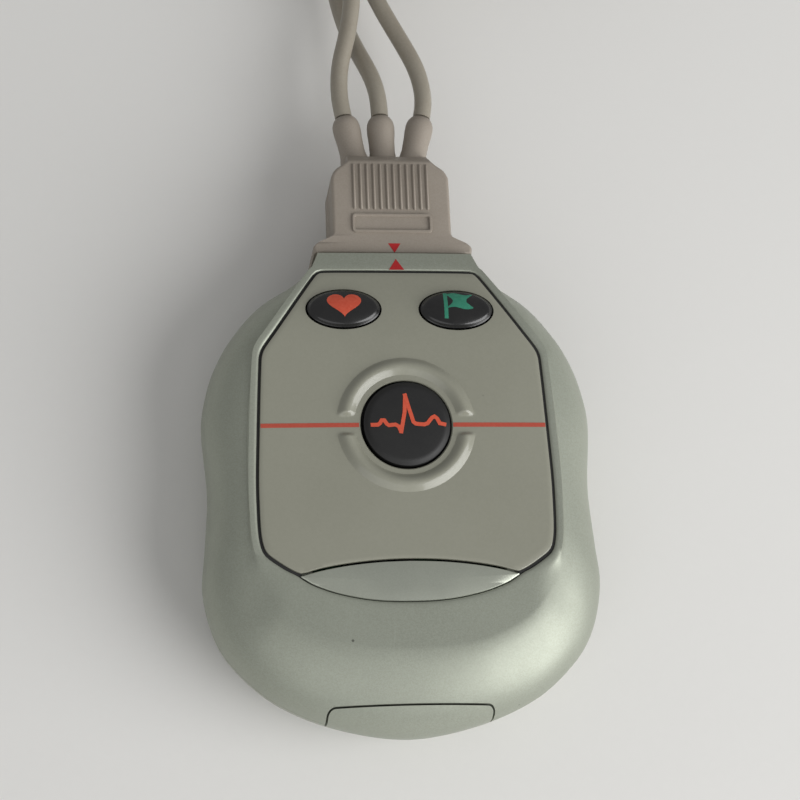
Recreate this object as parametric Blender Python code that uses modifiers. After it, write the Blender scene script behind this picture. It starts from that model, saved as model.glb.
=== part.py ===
# Wearable heart-event recorder with three push buttons, a battery door and a three-lead patient cable.
# Metres, +Z up. The back rests on Z = 0, X runs across and Y runs toward the cable.
import math
import bpy
import bmesh
from mathutils import Matrix, Vector

# Fits
gap = 0.0003
overrun = 0.002

# Battery cells, side by side along the housing
cell_length = 0.0445
cell_radius = 0.00525
cell_spacing = 0.0005
cell_x = cell_radius + cell_spacing
cell_nub_radius = 0.0019
cell_nub_length = 0.0009
cell_edge = 0.0006
bridge_thickness = 0.0003
bridge_height = 0.006
spring_length = 0.0022
spring_wire = 0.0003
spring_radius = 0.0026
spring_end_radius = 0.0016
spring_turns = 3
spring_points_per_turn = 8

# Cradle round the cells
cradle_wall = 0.0011
cradle_roof_wall = 0.0008
cradle_side_wall = 0.0014
cradle_side_room = 0.0009
cradle_half_width = cell_x + cell_radius + cradle_side_room + cradle_side_wall
cradle_rib = 0.0004
cradle_rib_depth = 0.005

# Cable socket in the neck
socket_half_width = 0.009
socket_height = (0.0069, 0.0137)
socket_wall = 0.0012
socket_length = 0.0134
socket_inset = 0.0004
socket_back = 0.0024
pin_count = 4
pin_pitch = 0.0032
pin_radius = 0.0005
pin_tail = 0.001
pin_reach = 0.0106

# Housing: long enough for the cells and the socket, wide enough for the cradle and the screws
lower_end_room = 0.0108
socket_room = 0.003
half_length = (lower_end_room + cell_length + 2 * gap + spring_length + cradle_wall + socket_room
               + socket_length + socket_inset) / 2
screw_room = 0.0057
flank_room = 0.0119
screw_x = cradle_half_width + screw_room
half_width = screw_x + flank_room
wall = 0.0018
board_thickness = 0.0008
button_room = 0.0058
cell_z = wall + gap + cell_radius
cradle_roof = cell_z + cell_radius + gap
cradle_top = cradle_roof + cradle_roof_wall
board_bottom = cradle_top + gap
board_top = board_bottom + board_thickness
switch_bottom = board_top + gap
cradle_bottom = wall + 2 * gap
face_height = board_top + button_room
girth_height = 0.011
flank_sweep = math.radians(66)
face_cross_drop = 0.0006
neck_slope_share = 0.605
neck_drop = 0.0023
neck_curve = 1.6
chin_slope_share = 0.474
chin_drop = 0.0005
chin_curve = 2
back_angles = (26, 51, 73)
back_inner_share = 0.5
flank_steps = 4
face_inner_shares = (0.72, 0.36)
face_centre_y_share = 0.158
face_centre_y = face_centre_y_share * half_length

# Half outlines from the lower end to the neck, as shares of half the width and half the length
girth_shares = [(0, -1), (0.34, -0.955), (0.625, -0.861), (0.816, -0.737), (0.939, -0.597),
                (1, -0.405), (0.987, -0.226), (0.971, 0.008), (0.997, 0.276), (0.974, 0.424),
                (0.926, 0.547), (0.838, 0.676), (0.696, 0.808), (0.537, 0.884), (0.43, 0.942), (0.411, 1)]
ridge_shares = [(0, -0.695), (0.307, -0.674), (0.534, -0.595), (0.673, -0.489), (0.744, -0.379),
                (0.767, -0.25), (0.764, -0.118), (0.761, 0.053), (0.757, 0.25), (0.741, 0.395),
                (0.712, 0.511), (0.628, 0.642), (0.528, 0.779), (0.443, 0.884), (0.395, 0.947), (0.375, 1)]
back_shares = [(0, -0.816), (0.291, -0.789), (0.505, -0.716), (0.641, -0.616), (0.718, -0.489),
               (0.757, -0.332), (0.751, -0.174), (0.744, 0.016), (0.757, 0.242), (0.744, 0.368),
               (0.699, 0.484), (0.621, 0.595), (0.505, 0.7), (0.388, 0.768), (0.33, 0.811), (0.304, 0.842)]
plate_shares = [(0, -0.329), (0.291, -0.342), (0.511, -0.376), (0.608, -0.358), (0.689, -0.305),
                (0.712, -0.224), (0.715, 0), (0.712, 0.216), (0.706, 0.368), (0.686, 0.5),
                (0.595, 0.642), (0.498, 0.779), (0.434, 0.866), (0.385, 0.9), (0, 0.903)]
badge_shares = [(0, -0.503), (0.194, -0.489), (0.372, -0.458), (0.485, -0.421), (0.531, -0.397),
                (0.469, -0.384), (0.259, -0.363), (0, -0.353)]

# Faceplate and badge plate, let into the front shell
plate_thickness = 0.0007
slab_inner_share = 0.55
badge_centre_y_share = -0.416
badge_centre_y = badge_centre_y_share * half_length

# Raised ring round the event button, split where the stripe runs through it
ring_radius = 0.0095
ring_half_width = 0.001
ring_top_half_width = 0.0005
ring_height = 0.0011
ring_split = 0.0032
ring_root = 0.0003

# Buttons: half sizes, place and travel
event_half = (0.0068, 0.0068)
event_y_share = 0.216
event_place = (0, event_y_share * half_length)
oval_half = (0.0059, 0.00325)
oval_apart = 0.003
oval_x = oval_half[0] + oval_apart
oval_y_share = 0.721
oval_y = oval_y_share * half_length
button_rise = 0.0006
dome_rise = 0.0007
dome_shares = ((0.06, 0), (0.3, 0.55), (0.62, 0.9))
flange_width = 0.0009
flange_thickness = 0.0006
button_travel = 0.0005

# Switches under the buttons
switch_half = 0.003
switch_bore = 0.0012
plunger_length = 0.0009

# Battery door
door_step = 0.0008
door_half_width = cradle_half_width - door_step
door_top = 0.0185
door_roof = 0.0118
door_front_room = 0.004
door_front_y = door_front_room - half_length
door_tongue = 0.0014
door_tongue_thickness = 0.0008
door_lip = 0.0006
door_grips = 5
door_grip_pitch = 0.0022
door_grip_depth = 0.0006
door_grip_half_width = 0.007
door_grip_y = -0.019

# Circuit board and what it carries
board_half_width = 0.0148
board_tip_half_width = 0.0108
board_lower_room = 0.0115
board_neck_room = 0.0045
board_y = (board_lower_room - half_length, half_length - board_neck_room)
board_taper = 0.009
main_chip_size = (0.010, 0.010, 0.0012)
main_chip_place = (-0.004, -0.0105)
memory_chip_size = (0.006, 0.008, 0.001)
memory_chip_place = (0.0085, -0.0095)
crystal_size = (0.0022, 0.005, 0.0014)
crystal_place = (0.0115, 0.004)

# Sounder and the holes over it
sounder_radius = 0.0043
sounder_height = 0.003
sounder_room = 0.0115
sounder_y = half_length - sounder_room
sound_hole_radius = 0.0006
sound_hole_circle = 0.0022
sound_hole_count = 5

# Case screws, from the back
screw_y_shares = (-0.5395, 0.4947)
boss_radius = 0.0026
sleeve_top = 0.0076
screw_head_radius = 0.002
screw_head_height = 0.0013
screw_radius = 0.001
screw_length = 0.0105
screw_slot = 0.0006
screw_slot_depth = 0.0006

# Seam seal
seal_width = 0.001
seal_half_height = 0.0009
seal_end_y_share = 0.863

# Cable plug
plug_centre_z = 0.01145
plug_half_height = 0.00555
plug_flange_half_width = 0.0128
plug_flange_length = 0.0015
plug_shoulder_length = 0.0018
plug_half_width = 0.0096
plug_length = 0.0185
plug_tip_half_width = 0.0068
plug_tip_length = 0.0042
plug_wall = 0.0016
plug_edge = 0.0009
tongue_reach = 0.0099
tongue_thickness = 0.0036
tongue_half_width = 0.0072
tongue_bore_radius = 0.0009
tongue_bore_depth = 0.0081
insert_half_width = 0.0079
insert_length = 0.0055
grip_start = 0.0077
grip_length = 0.0081
grip_ribs = 12
grip_pitch = 0.00108
grip_rib_width = 0.00054
grip_rib_height = 0.0004
grip_half_width = 0.0062
frame_start = 0.0037
frame_length = 0.0033
frame_edge = 0.0006

# Strain reliefs: the root's place across the plug, and the reach of the mouth from it
relief_places = {"left": (-0.0050, (-0.0015, 0.0078)),
                 "middle": (-0.0003, (-0.0002, 0.0080)),
                 "right": (0.0045, (0.0019, 0.0079))}
relief_flange_radius = 0.00185
relief_flange_length = 0.001
relief_neck_radius = 0.0015
relief_root_radius = 0.00215
relief_mouth_radius = 0.0019

# Leads
lead_diameter = 0.0029
coil_centre = (0.012, 0.121)
coil_outer_radii = {"left": 0.0193, "middle": 0.0193, "right": 0.0184}
coil_pitch = 0.00345
coil_floor = 0.0024
coil_points_per_turn = 24
layer_turns = 1.75
coil_turns_extra = {"left": 0, "middle": 0, "right": 0.25}
coil_layer = {"middle": 0, "right": 1, "left": 2}
run_curve_steps = 12
tail_curve_steps = 4
run_routes = {
    "left": [(-0.0072, 0.0696, 0.01145), (-0.0069, 0.0745, 0.0117), (-0.0056, 0.0795, 0.0122),
             (-0.0045, 0.087, 0.0127), (-0.0049, 0.097, 0.0136), (-0.0064, 0.107, 0.0149)],
    "middle": [(-0.0007, 0.0696, 0.0113), (-0.0017, 0.0738, 0.0102), (-0.0033, 0.0785, 0.0083),
               (-0.0053, 0.086, 0.0054), (-0.0067, 0.096, 0.0031), (-0.0072, 0.107, 0.0023)],
    "right": [(0.0070, 0.0694, 0.0113), (0.0062, 0.0742, 0.0109), (0.0040, 0.0795, 0.0102),
              (0.0006, 0.087, 0.0094), (-0.0032, 0.097, 0.0090), (-0.0063, 0.108, 0.0089)]}
run_points = 11
tail_routes = {
    "left": [(-0.0192, 0.0065, 0.0208), (-0.0160, 0.0114, 0.0230), (-0.0097, 0.0134, 0.0236),
             (-0.0035, 0.0110, 0.0237), (-0.0003, 0.0060, 0.0237)],
    "middle": [(-0.0203, 0.0060, 0.0056), (-0.0218, 0.0125, 0.0042), (-0.0209, 0.0190, 0.0028)],
    "right": [(0.0080, 0.0203, 0.0113), (0.0165, 0.0186, 0.0081), (0.0228, 0.0142, 0.0048),
              (0.0260, 0.0090, 0.0029)]}
tail_ends = {"left": ((-0.0001, 0.0008), (0, -1)), "middle": ((-0.0164, 0.0255), (0.6, 0.8)),
             "right": ((0.0270, 0.0040), (0.05, -0.99875))}

# Snap connectors
snap_radius = 0.0062
snap_height = 0.005
snap_rounding_share = 1 / 6
snap_neck_root_radius = 0.0023
snap_neck_end_radius = 0.002
snap_reach = 0.0138
snap_recess_radius = 0.0043
snap_recess_depth = 0.0016
snap_ring_radius = 0.004
snap_ring_bore = 0.0021
snap_ring_height = 0.0013
snap_rest = 0.00005

# Tie round the coils
tie_thickness = 0.0005
tie_width = 0.0045
tie_clearance = 0.00035
tie_angle = math.radians(-45)
tie_slack_share = 0.15
coil_top_layers = 5

# Facets
outline_steps = 2
round_steps = 20
small_round_steps = 12

# Looks: colour, roughness, metallic
silver_paint = ((0.36, 0.39, 0.36), 0.35, 0.35)
plate_paint = ((0.3, 0.29, 0.24), 0.25, 0.1)
badge_metal = ((0.45, 0.47, 0.44), 0.3, 0.6)
black_plastic = ((0.008, 0.008, 0.008), 0.2, 0)
beige_plastic = ((0.34, 0.29, 0.25), 0.4, 0)
lead_plastic = ((0.36, 0.31, 0.27), 0.45, 0)
dark_plastic = ((0.03, 0.03, 0.035), 0.5, 0)
board_green = ((0.02, 0.12, 0.05), 0.4, 0)
brass = ((0.6, 0.42, 0.15), 0.3, 1)
steel = ((0.5, 0.5, 0.5), 0.3, 1)
cell_wrap = ((0.05, 0.12, 0.3), 0.35, 0.2)
seal_rubber = ((0.02, 0.02, 0.02), 0.8, 0)


def clear_scene():
    for thing in list(bpy.data.objects):
        bpy.data.objects.remove(thing, do_unlink=True)


def make_collection(name):
    group = bpy.data.collections.new(name)
    bpy.context.scene.collection.children.link(group)
    return group


def make_object(name, shape, look=None):
    piece = bpy.data.objects.new(name, shape)
    if look is None:
        tools.objects.link(piece)
        piece.hide_render = True
        piece.display_type = "WIRE"
        return piece
    recorder.objects.link(piece)
    colour, roughness, metallic = look
    paint = bpy.data.materials.new(name)
    paint.use_nodes = True
    shader = paint.node_tree.nodes["Principled BSDF"]
    shader.inputs["Base Color"].default_value = (*colour, 1)
    shader.inputs["Roughness"].default_value = roughness
    shader.inputs["Metallic"].default_value = metallic
    shape.materials.append(paint)
    return piece


def mesh_from(name, bm):
    shape = bpy.data.meshes.new(name)
    bm.to_mesh(shape)
    bm.free()
    return shape


def smooth_shading(piece, angle=math.radians(35)):
    piece.data.shade_smooth()
    piece.data.set_sharp_from_angle(angle=angle)


# A closed or open skin laid over loops of equal count; a closed end is a fan round its middle
def loft(name, loops, look=None, close_first=True, close_last=True):
    bm = bmesh.new()
    rows = [[bm.verts.new(point) for point in loop] for loop in loops]
    count = len(rows[0])
    for low, high in zip(rows, rows[1:]):
        for i in range(count):
            j = (i + 1) % count
            bm.faces.new((low[i], low[j], high[j], high[i]))
    for row, wanted, forward in ((rows[0], close_first, False), (rows[-1], close_last, True)):
        if not wanted:
            continue
        middle = bm.verts.new(sum((v.co for v in row), Vector()) / count)
        for i in range(count):
            j = (i + 1) % count
            edge = (row[i], row[j]) if forward else (row[j], row[i])
            bm.faces.new((*edge, middle))
    piece = make_object(name, mesh_from(name, bm), look)
    smooth_shading(piece)
    return piece


def box(name, low, high, look=None):
    bm = bmesh.new()
    bmesh.ops.create_cube(bm, size=1)
    size = [b - a for a, b in zip(low, high)]
    middle = [(a + b) / 2 for a, b in zip(low, high)]
    bmesh.ops.scale(bm, vec=size, verts=bm.verts)
    bmesh.ops.translate(bm, vec=middle, verts=bm.verts)
    return make_object(name, mesh_from(name, bm), look)


# A rod from one point to another, straight or tapered
def rod(name, start, end, radius, look=None, end_radius=None, steps=small_round_steps):
    bm = bmesh.new()
    along = Vector(end) - Vector(start)
    last_radius = radius if end_radius is None else end_radius
    bmesh.ops.create_cone(bm, cap_ends=True, segments=steps, radius1=radius, radius2=last_radius,
                          depth=along.length)
    turn = along.to_track_quat("Z", "Y").to_matrix().to_4x4()
    middle = Matrix.Translation((Vector(start) + Vector(end)) / 2)
    bmesh.ops.transform(bm, matrix=middle @ turn, verts=bm.verts)
    piece = make_object(name, mesh_from(name, bm), look)
    smooth_shading(piece)
    return piece


# A turned piece: (radius, height) points down the outer side, turned about the line from place along axis
def turned(name, profile, place, axis, look=None, steps=round_steps, ring=False):
    bm = bmesh.new()
    points = [bm.verts.new((radius, 0, height)) for radius, height in profile]
    for a, b in zip(points, points[1:]):
        bm.edges.new((a, b))
    if ring:
        bm.edges.new((points[-1], points[0]))
    piece = make_object(name, mesh_from(name, bm), look)
    piece.location = place
    piece.rotation_euler = Vector(axis).to_track_quat("Z", "Y").to_euler()
    screw = piece.modifiers.new("turn", "SCREW")
    screw.steps = steps
    screw.render_steps = steps
    screw.use_merge_vertices = True
    screw.merge_threshold = 0.00001
    screw.use_smooth_shade = True
    return piece


def combine(piece, tool, operation="DIFFERENCE"):
    change = piece.modifiers.new(tool.name, "BOOLEAN")
    change.operation = operation
    change.solver = "EXACT"
    change.object = tool


def shell_of(piece, thickness):
    skin = piece.modifiers.new("wall", "SOLIDIFY")
    skin.thickness = thickness
    skin.offset = -1


# A smooth curve through the given points, with the same number of steps between each two
def curve_through(points, steps):
    ends = [tuple(2 * a - b for a, b in zip(points[0], points[1])),
            tuple(2 * a - b for a, b in zip(points[-1], points[-2]))]
    path = [ends[0], *points, ends[1]]
    result = []
    for i in range(1, len(path) - 2):
        before, start, end, after = path[i - 1:i + 3]
        for k in range(steps):
            t = k / steps
            result.append(tuple(0.5 * (2 * b + (c - a) * t + (2 * a - 5 * b + 4 * c - d) * t ** 2
                                       + (3 * b - a - 3 * c + d) * t ** 3)
                                for a, b, c, d in zip(before, start, end, after)))
    result.append(tuple(points[-1]))
    return result


# Points at equal distances along a path
def evenly(points, count):
    lengths = [0]
    for a, b in zip(points, points[1:]):
        lengths.append(lengths[-1] + (Vector(b) - Vector(a)).length)
    result = []
    k = 0
    for i in range(count):
        wanted = lengths[-1] * i / (count - 1)
        while k < len(points) - 2 and lengths[k + 1] < wanted:
            k += 1
        share = (wanted - lengths[k]) / (lengths[k + 1] - lengths[k])
        result.append(Vector(points[k]).lerp(Vector(points[k + 1]), share))
    return result


# The whole loop for a table of half-outline shares, counter-clockwise from the lower end
def outline(shares, steps=outline_steps):
    right = curve_through([(x * half_width, y * half_length) for x, y in shares], steps)
    left = [(-x, y) for x, y in reversed(right)]
    return right + [point for point in left if abs(point[0]) > gap / 2]


def face_z(x, y):
    neck = max(0, (y / half_length - neck_slope_share) / (1 - neck_slope_share))
    chin = max(0, (-y / half_length - chin_slope_share) / (1 - chin_slope_share))
    return (face_height - face_cross_drop * (x / half_width) ** 2 - neck_drop * neck ** neck_curve
            - chin_drop * chin ** chin_curve)


def blend_loop(first, last, share):
    return [(a[0] + (b[0] - a[0]) * share, a[1] + (b[1] - a[1]) * share) for a, b in zip(first, last)]


def raised(loop, height):
    return [(x, y, height(x, y) if callable(height) else height) for x, y in loop]


girth = outline(girth_shares)
ridge = outline(ridge_shares)
back = outline(back_shares)


# Loops of the back half, from the flat back out and up to the seam
def back_loops(seam):
    centre = [(0, face_centre_y)] * len(back)
    loops = [raised(blend_loop(centre, back, share), 0) for share in (back_inner_share, 1)]
    for angle in back_angles:
        share = 1 - math.cos(math.radians(90 - angle))
        height = girth_height * (1 - math.sin(math.radians(90 - angle)))
        loops.append(raised(blend_loop(girth, back, share), height))
    loops.append(raised(girth, seam))
    return loops


# Loops of the front half, from the seam up the flank to the ridge and in over the face
def front_loops(seam):
    loops = [raised(girth, seam)]
    for step in range(flank_steps):
        angle = flank_sweep * (step + 1) / flank_steps
        share = (1 - math.cos(angle)) / (1 - math.cos(flank_sweep))
        rise = math.sin(angle) / math.sin(flank_sweep)
        flank = blend_loop(girth, ridge, share)
        loops.append([(x, y, seam + (face_z(*top) - seam) * rise) for (x, y), top in zip(flank, ridge)])
    centre = [(0, face_centre_y)] * len(ridge)
    for share in face_inner_shares:
        loops.append(raised(blend_loop(centre, ridge, share), face_z))
    return loops


# A thin plate that follows the face, its top and bottom given as distances from the face
def face_slab(name, loop, centre_y, above, below, look=None):
    centre = [(0, centre_y)] * len(loop)

    def lifted(share, distance):
        return raised(blend_loop(centre, loop, share), lambda x, y: face_z(x, y) + distance)

    loops = [lifted(share, below) for share in (slab_inner_share, 1)]
    loops += [lifted(share, above) for share in (1, slab_inner_share)]
    return loft(name, loops, look)


# The loop moved outward by a distance, or inward by a negative one
def widened(loop, distance):
    result = []
    for i, (x, y) in enumerate(loop):
        before = Vector(loop[i - 1])
        after = Vector(loop[(i + 1) % len(loop)])
        along = (after - before).normalized()
        result.append((x + along.y * distance, y - along.x * distance))
    return result


# Stacked ellipses from the bottom up: growth of the half sizes, and the height as a value or a rule
def oval_stack(name, half, place, levels, look=None, steps=round_steps):
    loops = []
    for growth, height in levels:
        loops.append(raised([(place[0] + (half[0] + growth) * math.cos(math.tau * i / steps),
                              place[1] + (half[1] + growth) * math.sin(math.tau * i / steps))
                             for i in range(steps)], height))
    return loft(name, loops, look)


def tube(name, points, diameter, look, resolution):
    curve = bpy.data.curves.new(name, "CURVE")
    curve.dimensions = "3D"
    curve.bevel_depth = diameter / 2
    curve.bevel_resolution = resolution
    curve.use_fill_caps = True
    line = curve.splines.new("POLY")
    line.points.add(len(points) - 1)
    for slot, point in zip(line.points, points):
        slot.co = (*point, 1)
    return make_object(name, curve, look)


# Parents the pieces of one moving body to an empty on its joint's axis
def carry(name, place, pieces):
    axis = bpy.data.objects.new(name, None)
    axis.location = place
    axis.empty_display_size = wall
    recorder.objects.link(axis)
    for piece in pieces:
        piece.parent = axis
        piece.matrix_parent_inverse = Matrix.Translation(-Vector(place))


cell_end_y = lower_end_room - half_length
socket_end = half_length - socket_inset
socket_start = socket_end - socket_length
tongue_y = half_length - tongue_reach
cradle_y = (cell_end_y - 2 * gap - bridge_thickness - cradle_wall,
            cell_end_y + cell_length + 2 * gap + spring_length + cradle_wall)


def make_battery_door():
    door = loft("battery_door", back_loops(girth_height) + front_loops(girth_height)[1:], silver_paint)
    shell_of(door, wall)
    combine(door, box("door_outline", (-door_half_width, -half_length - overrun, -overrun),
                      (door_half_width, cradle_y[1], door_top)), "INTERSECT")
    combine(door, box("door_front_edge", (-half_width, door_front_y, door_roof),
                      (half_width, half_length, door_top + overrun)))
    tongue_low = door_lip + gap
    tongue = box("door_tongue", (-door_half_width - door_tongue, cradle_y[0] + cradle_wall, tongue_low),
                 (door_half_width + door_tongue, cradle_y[1] - cradle_wall,
                  tongue_low + door_tongue_thickness))
    combine(door, tongue, "UNION")
    for i in range(door_grips):
        y = door_grip_y + door_grip_pitch * i
        groove = rod(f"door_groove_{i + 1}", (-door_grip_half_width, y, 0), (door_grip_half_width, y, 0),
                     door_grip_depth, steps=8)
        combine(door, groove)
    opening = box("door_opening", (-door_half_width - gap, -half_length - overrun, -overrun),
                  (door_half_width + gap, cradle_y[1] + gap, door_roof + gap))
    end_opening = box("door_end_opening", (-door_half_width - gap, -half_length - overrun, girth_height / 2),
                      (door_half_width + gap, door_front_y + gap, door_top + gap))
    rebate = box("door_rebate", (-door_half_width - door_tongue - gap, -half_length - overrun, door_lip),
                 (door_half_width + door_tongue + gap, cradle_y[1] - cradle_wall + gap,
                  tongue_low + door_tongue_thickness + gap))
    return opening, end_opening, rebate


def make_housing(door_opening, door_end_opening, door_rebate):
    seam = girth_height
    rear = loft("rear_shell", back_loops(seam) + [raised(girth, seam + overrun)], silver_paint,
                close_last=False)
    front = loft("front_shell", [raised(girth, seam - overrun)] + front_loops(seam), silver_paint,
                 close_first=False)
    for shell, low, high in ((rear, seam - gap / 2, seam + 2 * overrun),
                             (front, seam - 2 * overrun, seam + gap / 2)):
        shell_of(shell, wall)
        trim = box(f"{shell.name}_trim", (-half_width - overrun, -half_length - overrun, low),
                   (half_width + overrun, half_length + overrun, high))
        combine(shell, trim)
        combine(shell, door_opening)
    combine(front, door_end_opening)
    combine(rear, door_rebate)
    places = [(side * screw_x, share * half_length) for share in screw_y_shares for side in (-1, 1)]
    for i, (x, y) in enumerate(places):
        post_top = face_height - wall / 2 - face_cross_drop
        post = rod(f"post_{i + 1}", (x, y, sleeve_top + gap), (x, y, post_top), boss_radius)
        combine(front, post, "UNION")
        sleeve = rod(f"sleeve_{i + 1}", (x, y, wall / 2), (x, y, sleeve_top), boss_radius)
        combine(rear, sleeve, "UNION")
    for i, (x, y) in enumerate(places):
        head_top = gap + screw_head_height
        hole_end = head_top + screw_length + gap
        bore = turned(f"screw_bore_{i + 1}",
                      [(0, hole_end), (screw_radius + gap, hole_end),
                       (screw_radius + gap, head_top + gap), (screw_head_radius + gap, head_top + gap),
                       (screw_head_radius + gap, -overrun), (0, -overrun)],
                      (x, y, 0), (0, 0, 1), steps=small_round_steps)
        combine(rear, bore)
        combine(front, bore)
        screw = turned(f"case_screw_{i + 1}",
                       [(0, head_top + screw_length), (screw_radius / 2, head_top + screw_length),
                        (screw_radius, head_top + screw_length - screw_radius), (screw_radius, head_top),
                        (screw_head_radius, head_top), (screw_head_radius, gap), (0, gap)],
                       (x, y, 0), (0, 0, 1), steel, small_round_steps)
        slot = box(f"screw_slot_{i + 1}", (x - screw_head_radius - overrun, y - screw_slot / 2, -overrun),
                   (x + screw_head_radius + overrun, y + screw_slot / 2, gap + screw_slot_depth))
        combine(screw, slot)
    neck_mouth = box("neck_mouth", (-socket_half_width - gap, half_length - wall - overrun,
                                    socket_height[0] - gap),
                     (socket_half_width + gap, half_length + overrun, socket_height[1] + gap))
    combine(rear, neck_mouth)
    combine(front, neck_mouth)
    for i in range(sound_hole_count):
        angle = math.tau * i / sound_hole_count
        x = sound_hole_circle * math.cos(angle)
        y = sounder_y + sound_hole_circle * math.sin(angle)
        hole = rod(f"sound_hole_{i + 1}", (x, y, -overrun), (x, y, wall + overrun), sound_hole_radius,
                   steps=8)
        combine(rear, hole)
    return front


def make_face(front):
    plate = outline(plate_shares)
    badge = outline(badge_shares)
    below = -gap - plate_thickness
    for name, loop, centre_y, look in (("faceplate", plate, face_centre_y, plate_paint),
                                       ("badge_plate", badge, badge_centre_y, badge_metal)):
        piece = face_slab(name, loop, centre_y, 0, -plate_thickness, look)
        recess = face_slab(f"{name}_recess", widened(loop, gap), centre_y, overrun, below)
        combine(front, recess)
        if name == "faceplate":
            faceplate = piece
    ring = turned("button_ring", [(ring_radius + ring_top_half_width, ring_height),
                                  (ring_radius + ring_half_width, ring_height / 2),
                                  (ring_radius + ring_half_width, -ring_root),
                                  (ring_radius - ring_half_width, -ring_root),
                                  (ring_radius - ring_half_width, ring_height / 2),
                                  (ring_radius - ring_top_half_width, ring_height)],
                  (*event_place, face_z(*event_place)), (0, 0, 1), steps=24, ring=True)
    split_y = (event_place[1] - ring_split / 2, event_place[1] + ring_split / 2)
    split = box("ring_split", (-half_width, split_y[0], face_height - face_cross_drop / 2),
                (half_width, split_y[1], face_height + ring_height + overrun))
    combine(ring, split)
    combine(faceplate, ring, "UNION")
    return faceplate


def make_button(name, half, place, front, faceplate):
    x, y = place
    lowest_face = min(face_z(x + side * (half[0] + flange_width), y + end * (half[1] + flange_width))
                      for side in (-1, 1) for end in (-1, 1))
    flange_top = lowest_face - wall - gap
    flange_bottom = flange_top - flange_thickness

    def over_face(rise):
        return lambda px, py: face_z(px, py) + rise

    levels = [(flange_width, flange_bottom), (flange_width, flange_top), (0, flange_top),
              (0, over_face(button_rise - gap))]
    levels += [(-half[1] * inward, over_face(button_rise + dome_rise * up)) for inward, up in dome_shares]
    button = oval_stack(f"{name}_button", half, place, levels, black_plastic)
    hole = oval_stack(f"{name}_hole", half, place,
                      [(gap, flange_bottom - overrun), (gap, over_face(overrun))])
    combine(front, hole)
    combine(faceplate, hole)
    plunger_top = flange_bottom - gap
    plunger = rod(f"{name}_plunger", (x, y, plunger_top - plunger_length), (x, y, plunger_top),
                  switch_bore - gap, dark_plastic)
    switch = box(f"{name}_switch", (x - switch_half, y - switch_half, switch_bottom),
                 (x + switch_half, y + switch_half, plunger_top - button_travel), steel)
    bore = rod(f"{name}_switch_bore", (x, y, switch_bottom - overrun), (x, y, plunger_top + overrun),
               switch_bore)
    combine(switch, bore)
    carry(f"{name}_press_axis", (x, y, face_z(x, y)), [button, plunger])


def make_cells():
    y0, y1 = cradle_y
    cradle = box("battery_cradle", (-cradle_half_width, y0, cradle_bottom),
                 (cradle_half_width, y1, cradle_top), dark_plastic)
    inner = cradle_half_width - cradle_side_wall
    well = box("cradle_well", (-inner, y0 + cradle_wall, -overrun),
               (inner, y1 - cradle_wall, cradle_roof))
    combine(cradle, well)
    rib = box("cradle_rib", (-cradle_rib / 2, cell_end_y, cradle_roof - cradle_rib_depth),
              (cradle_rib / 2, cell_end_y + cell_length, cradle_roof + cradle_roof_wall / 2))
    for side, name in ((-1, "left"), (1, "right")):
        profile = [(0, cell_length), (cell_nub_radius, cell_length),
                   (cell_nub_radius, cell_length - cell_nub_length),
                   (cell_radius - cell_edge, cell_length - cell_nub_length),
                   (cell_radius, cell_length - cell_nub_length - cell_edge), (cell_radius, 0), (0, 0)]
        toward = -side
        start_y = cell_end_y if toward > 0 else cell_end_y + cell_length
        turned(f"cell_{name}", profile, (side * cell_x, start_y, cell_z), (0, toward, 0), cell_wrap, 16)
        spring_start = cell_end_y + cell_length + gap + spring_wire
        spring_end = spring_start + spring_length - 2 * spring_wire
        steps = spring_turns * spring_points_per_turn
        points = []
        for i in range(steps + 1):
            t = i / steps
            radius = spring_end_radius + (spring_radius - spring_end_radius) * t
            angle = math.tau * spring_turns * t
            points.append((side * cell_x + radius * math.cos(angle), spring_start
                           + (spring_end - spring_start) * t, cell_z + radius * math.sin(angle)))
        tube(f"cell_spring_{name}", points, spring_wire * 2, steel, 1)
    combine(cradle, rib, "UNION")
    bridge_y = cell_end_y - gap
    bridge_x = cell_x + cell_nub_radius
    box("cell_bridge", (-bridge_x, bridge_y - bridge_thickness, cell_z - bridge_height / 2),
        (bridge_x, bridge_y, cell_z + bridge_height / 2), brass)


def place_block(name, size, place, bottom, look):
    x, y = place
    box(name, (x - size[0] / 2, y - size[1] / 2, bottom),
        (x + size[0] / 2, y + size[1] / 2, bottom + size[2]), look)


def make_board():
    right = [(board_half_width, board_y[0]), (board_half_width, board_y[1] - board_taper),
             (board_tip_half_width, board_y[1])]
    loop = right + [(-x, y) for x, y in reversed(right)]
    loft("circuit_board", [raised(loop, board_bottom), raised(loop, board_top)], board_green)
    place_block("main_chip", main_chip_size, main_chip_place, switch_bottom, dark_plastic)
    place_block("memory_chip", memory_chip_size, memory_chip_place, switch_bottom, dark_plastic)
    place_block("crystal", crystal_size, crystal_place, switch_bottom, steel)
    bottom = wall + gap
    rod("sounder", (0, sounder_y, bottom), (0, sounder_y, bottom + sounder_height), sounder_radius,
        dark_plastic, steps=round_steps)


# A ring inside the seam, open at the neck where the socket passes
def make_seal():
    outer = widened(girth, -wall - gap)
    inner = widened(outer, -seal_width)
    low, high = girth_height - seal_half_height, girth_height + seal_half_height
    loops = [raised(outer, low), raised(outer, high), raised(inner, high), raised(inner, low)]
    seal = loft("seam_seal", loops, seal_rubber, close_first=False, close_last=False)
    bm = bmesh.new()
    bm.from_mesh(seal.data)
    rims = [edge for edge in bm.edges if edge.is_boundary]
    bmesh.ops.bridge_loops(bm, edges=rims)
    bmesh.ops.recalc_face_normals(bm, faces=bm.faces)
    bm.to_mesh(seal.data)
    bm.free()
    neck = box("seal_neck_break", (-half_width, seal_end_y_share * half_length, low - overrun),
               (half_width, half_length, high + overrun))
    combine(seal, neck)


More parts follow.
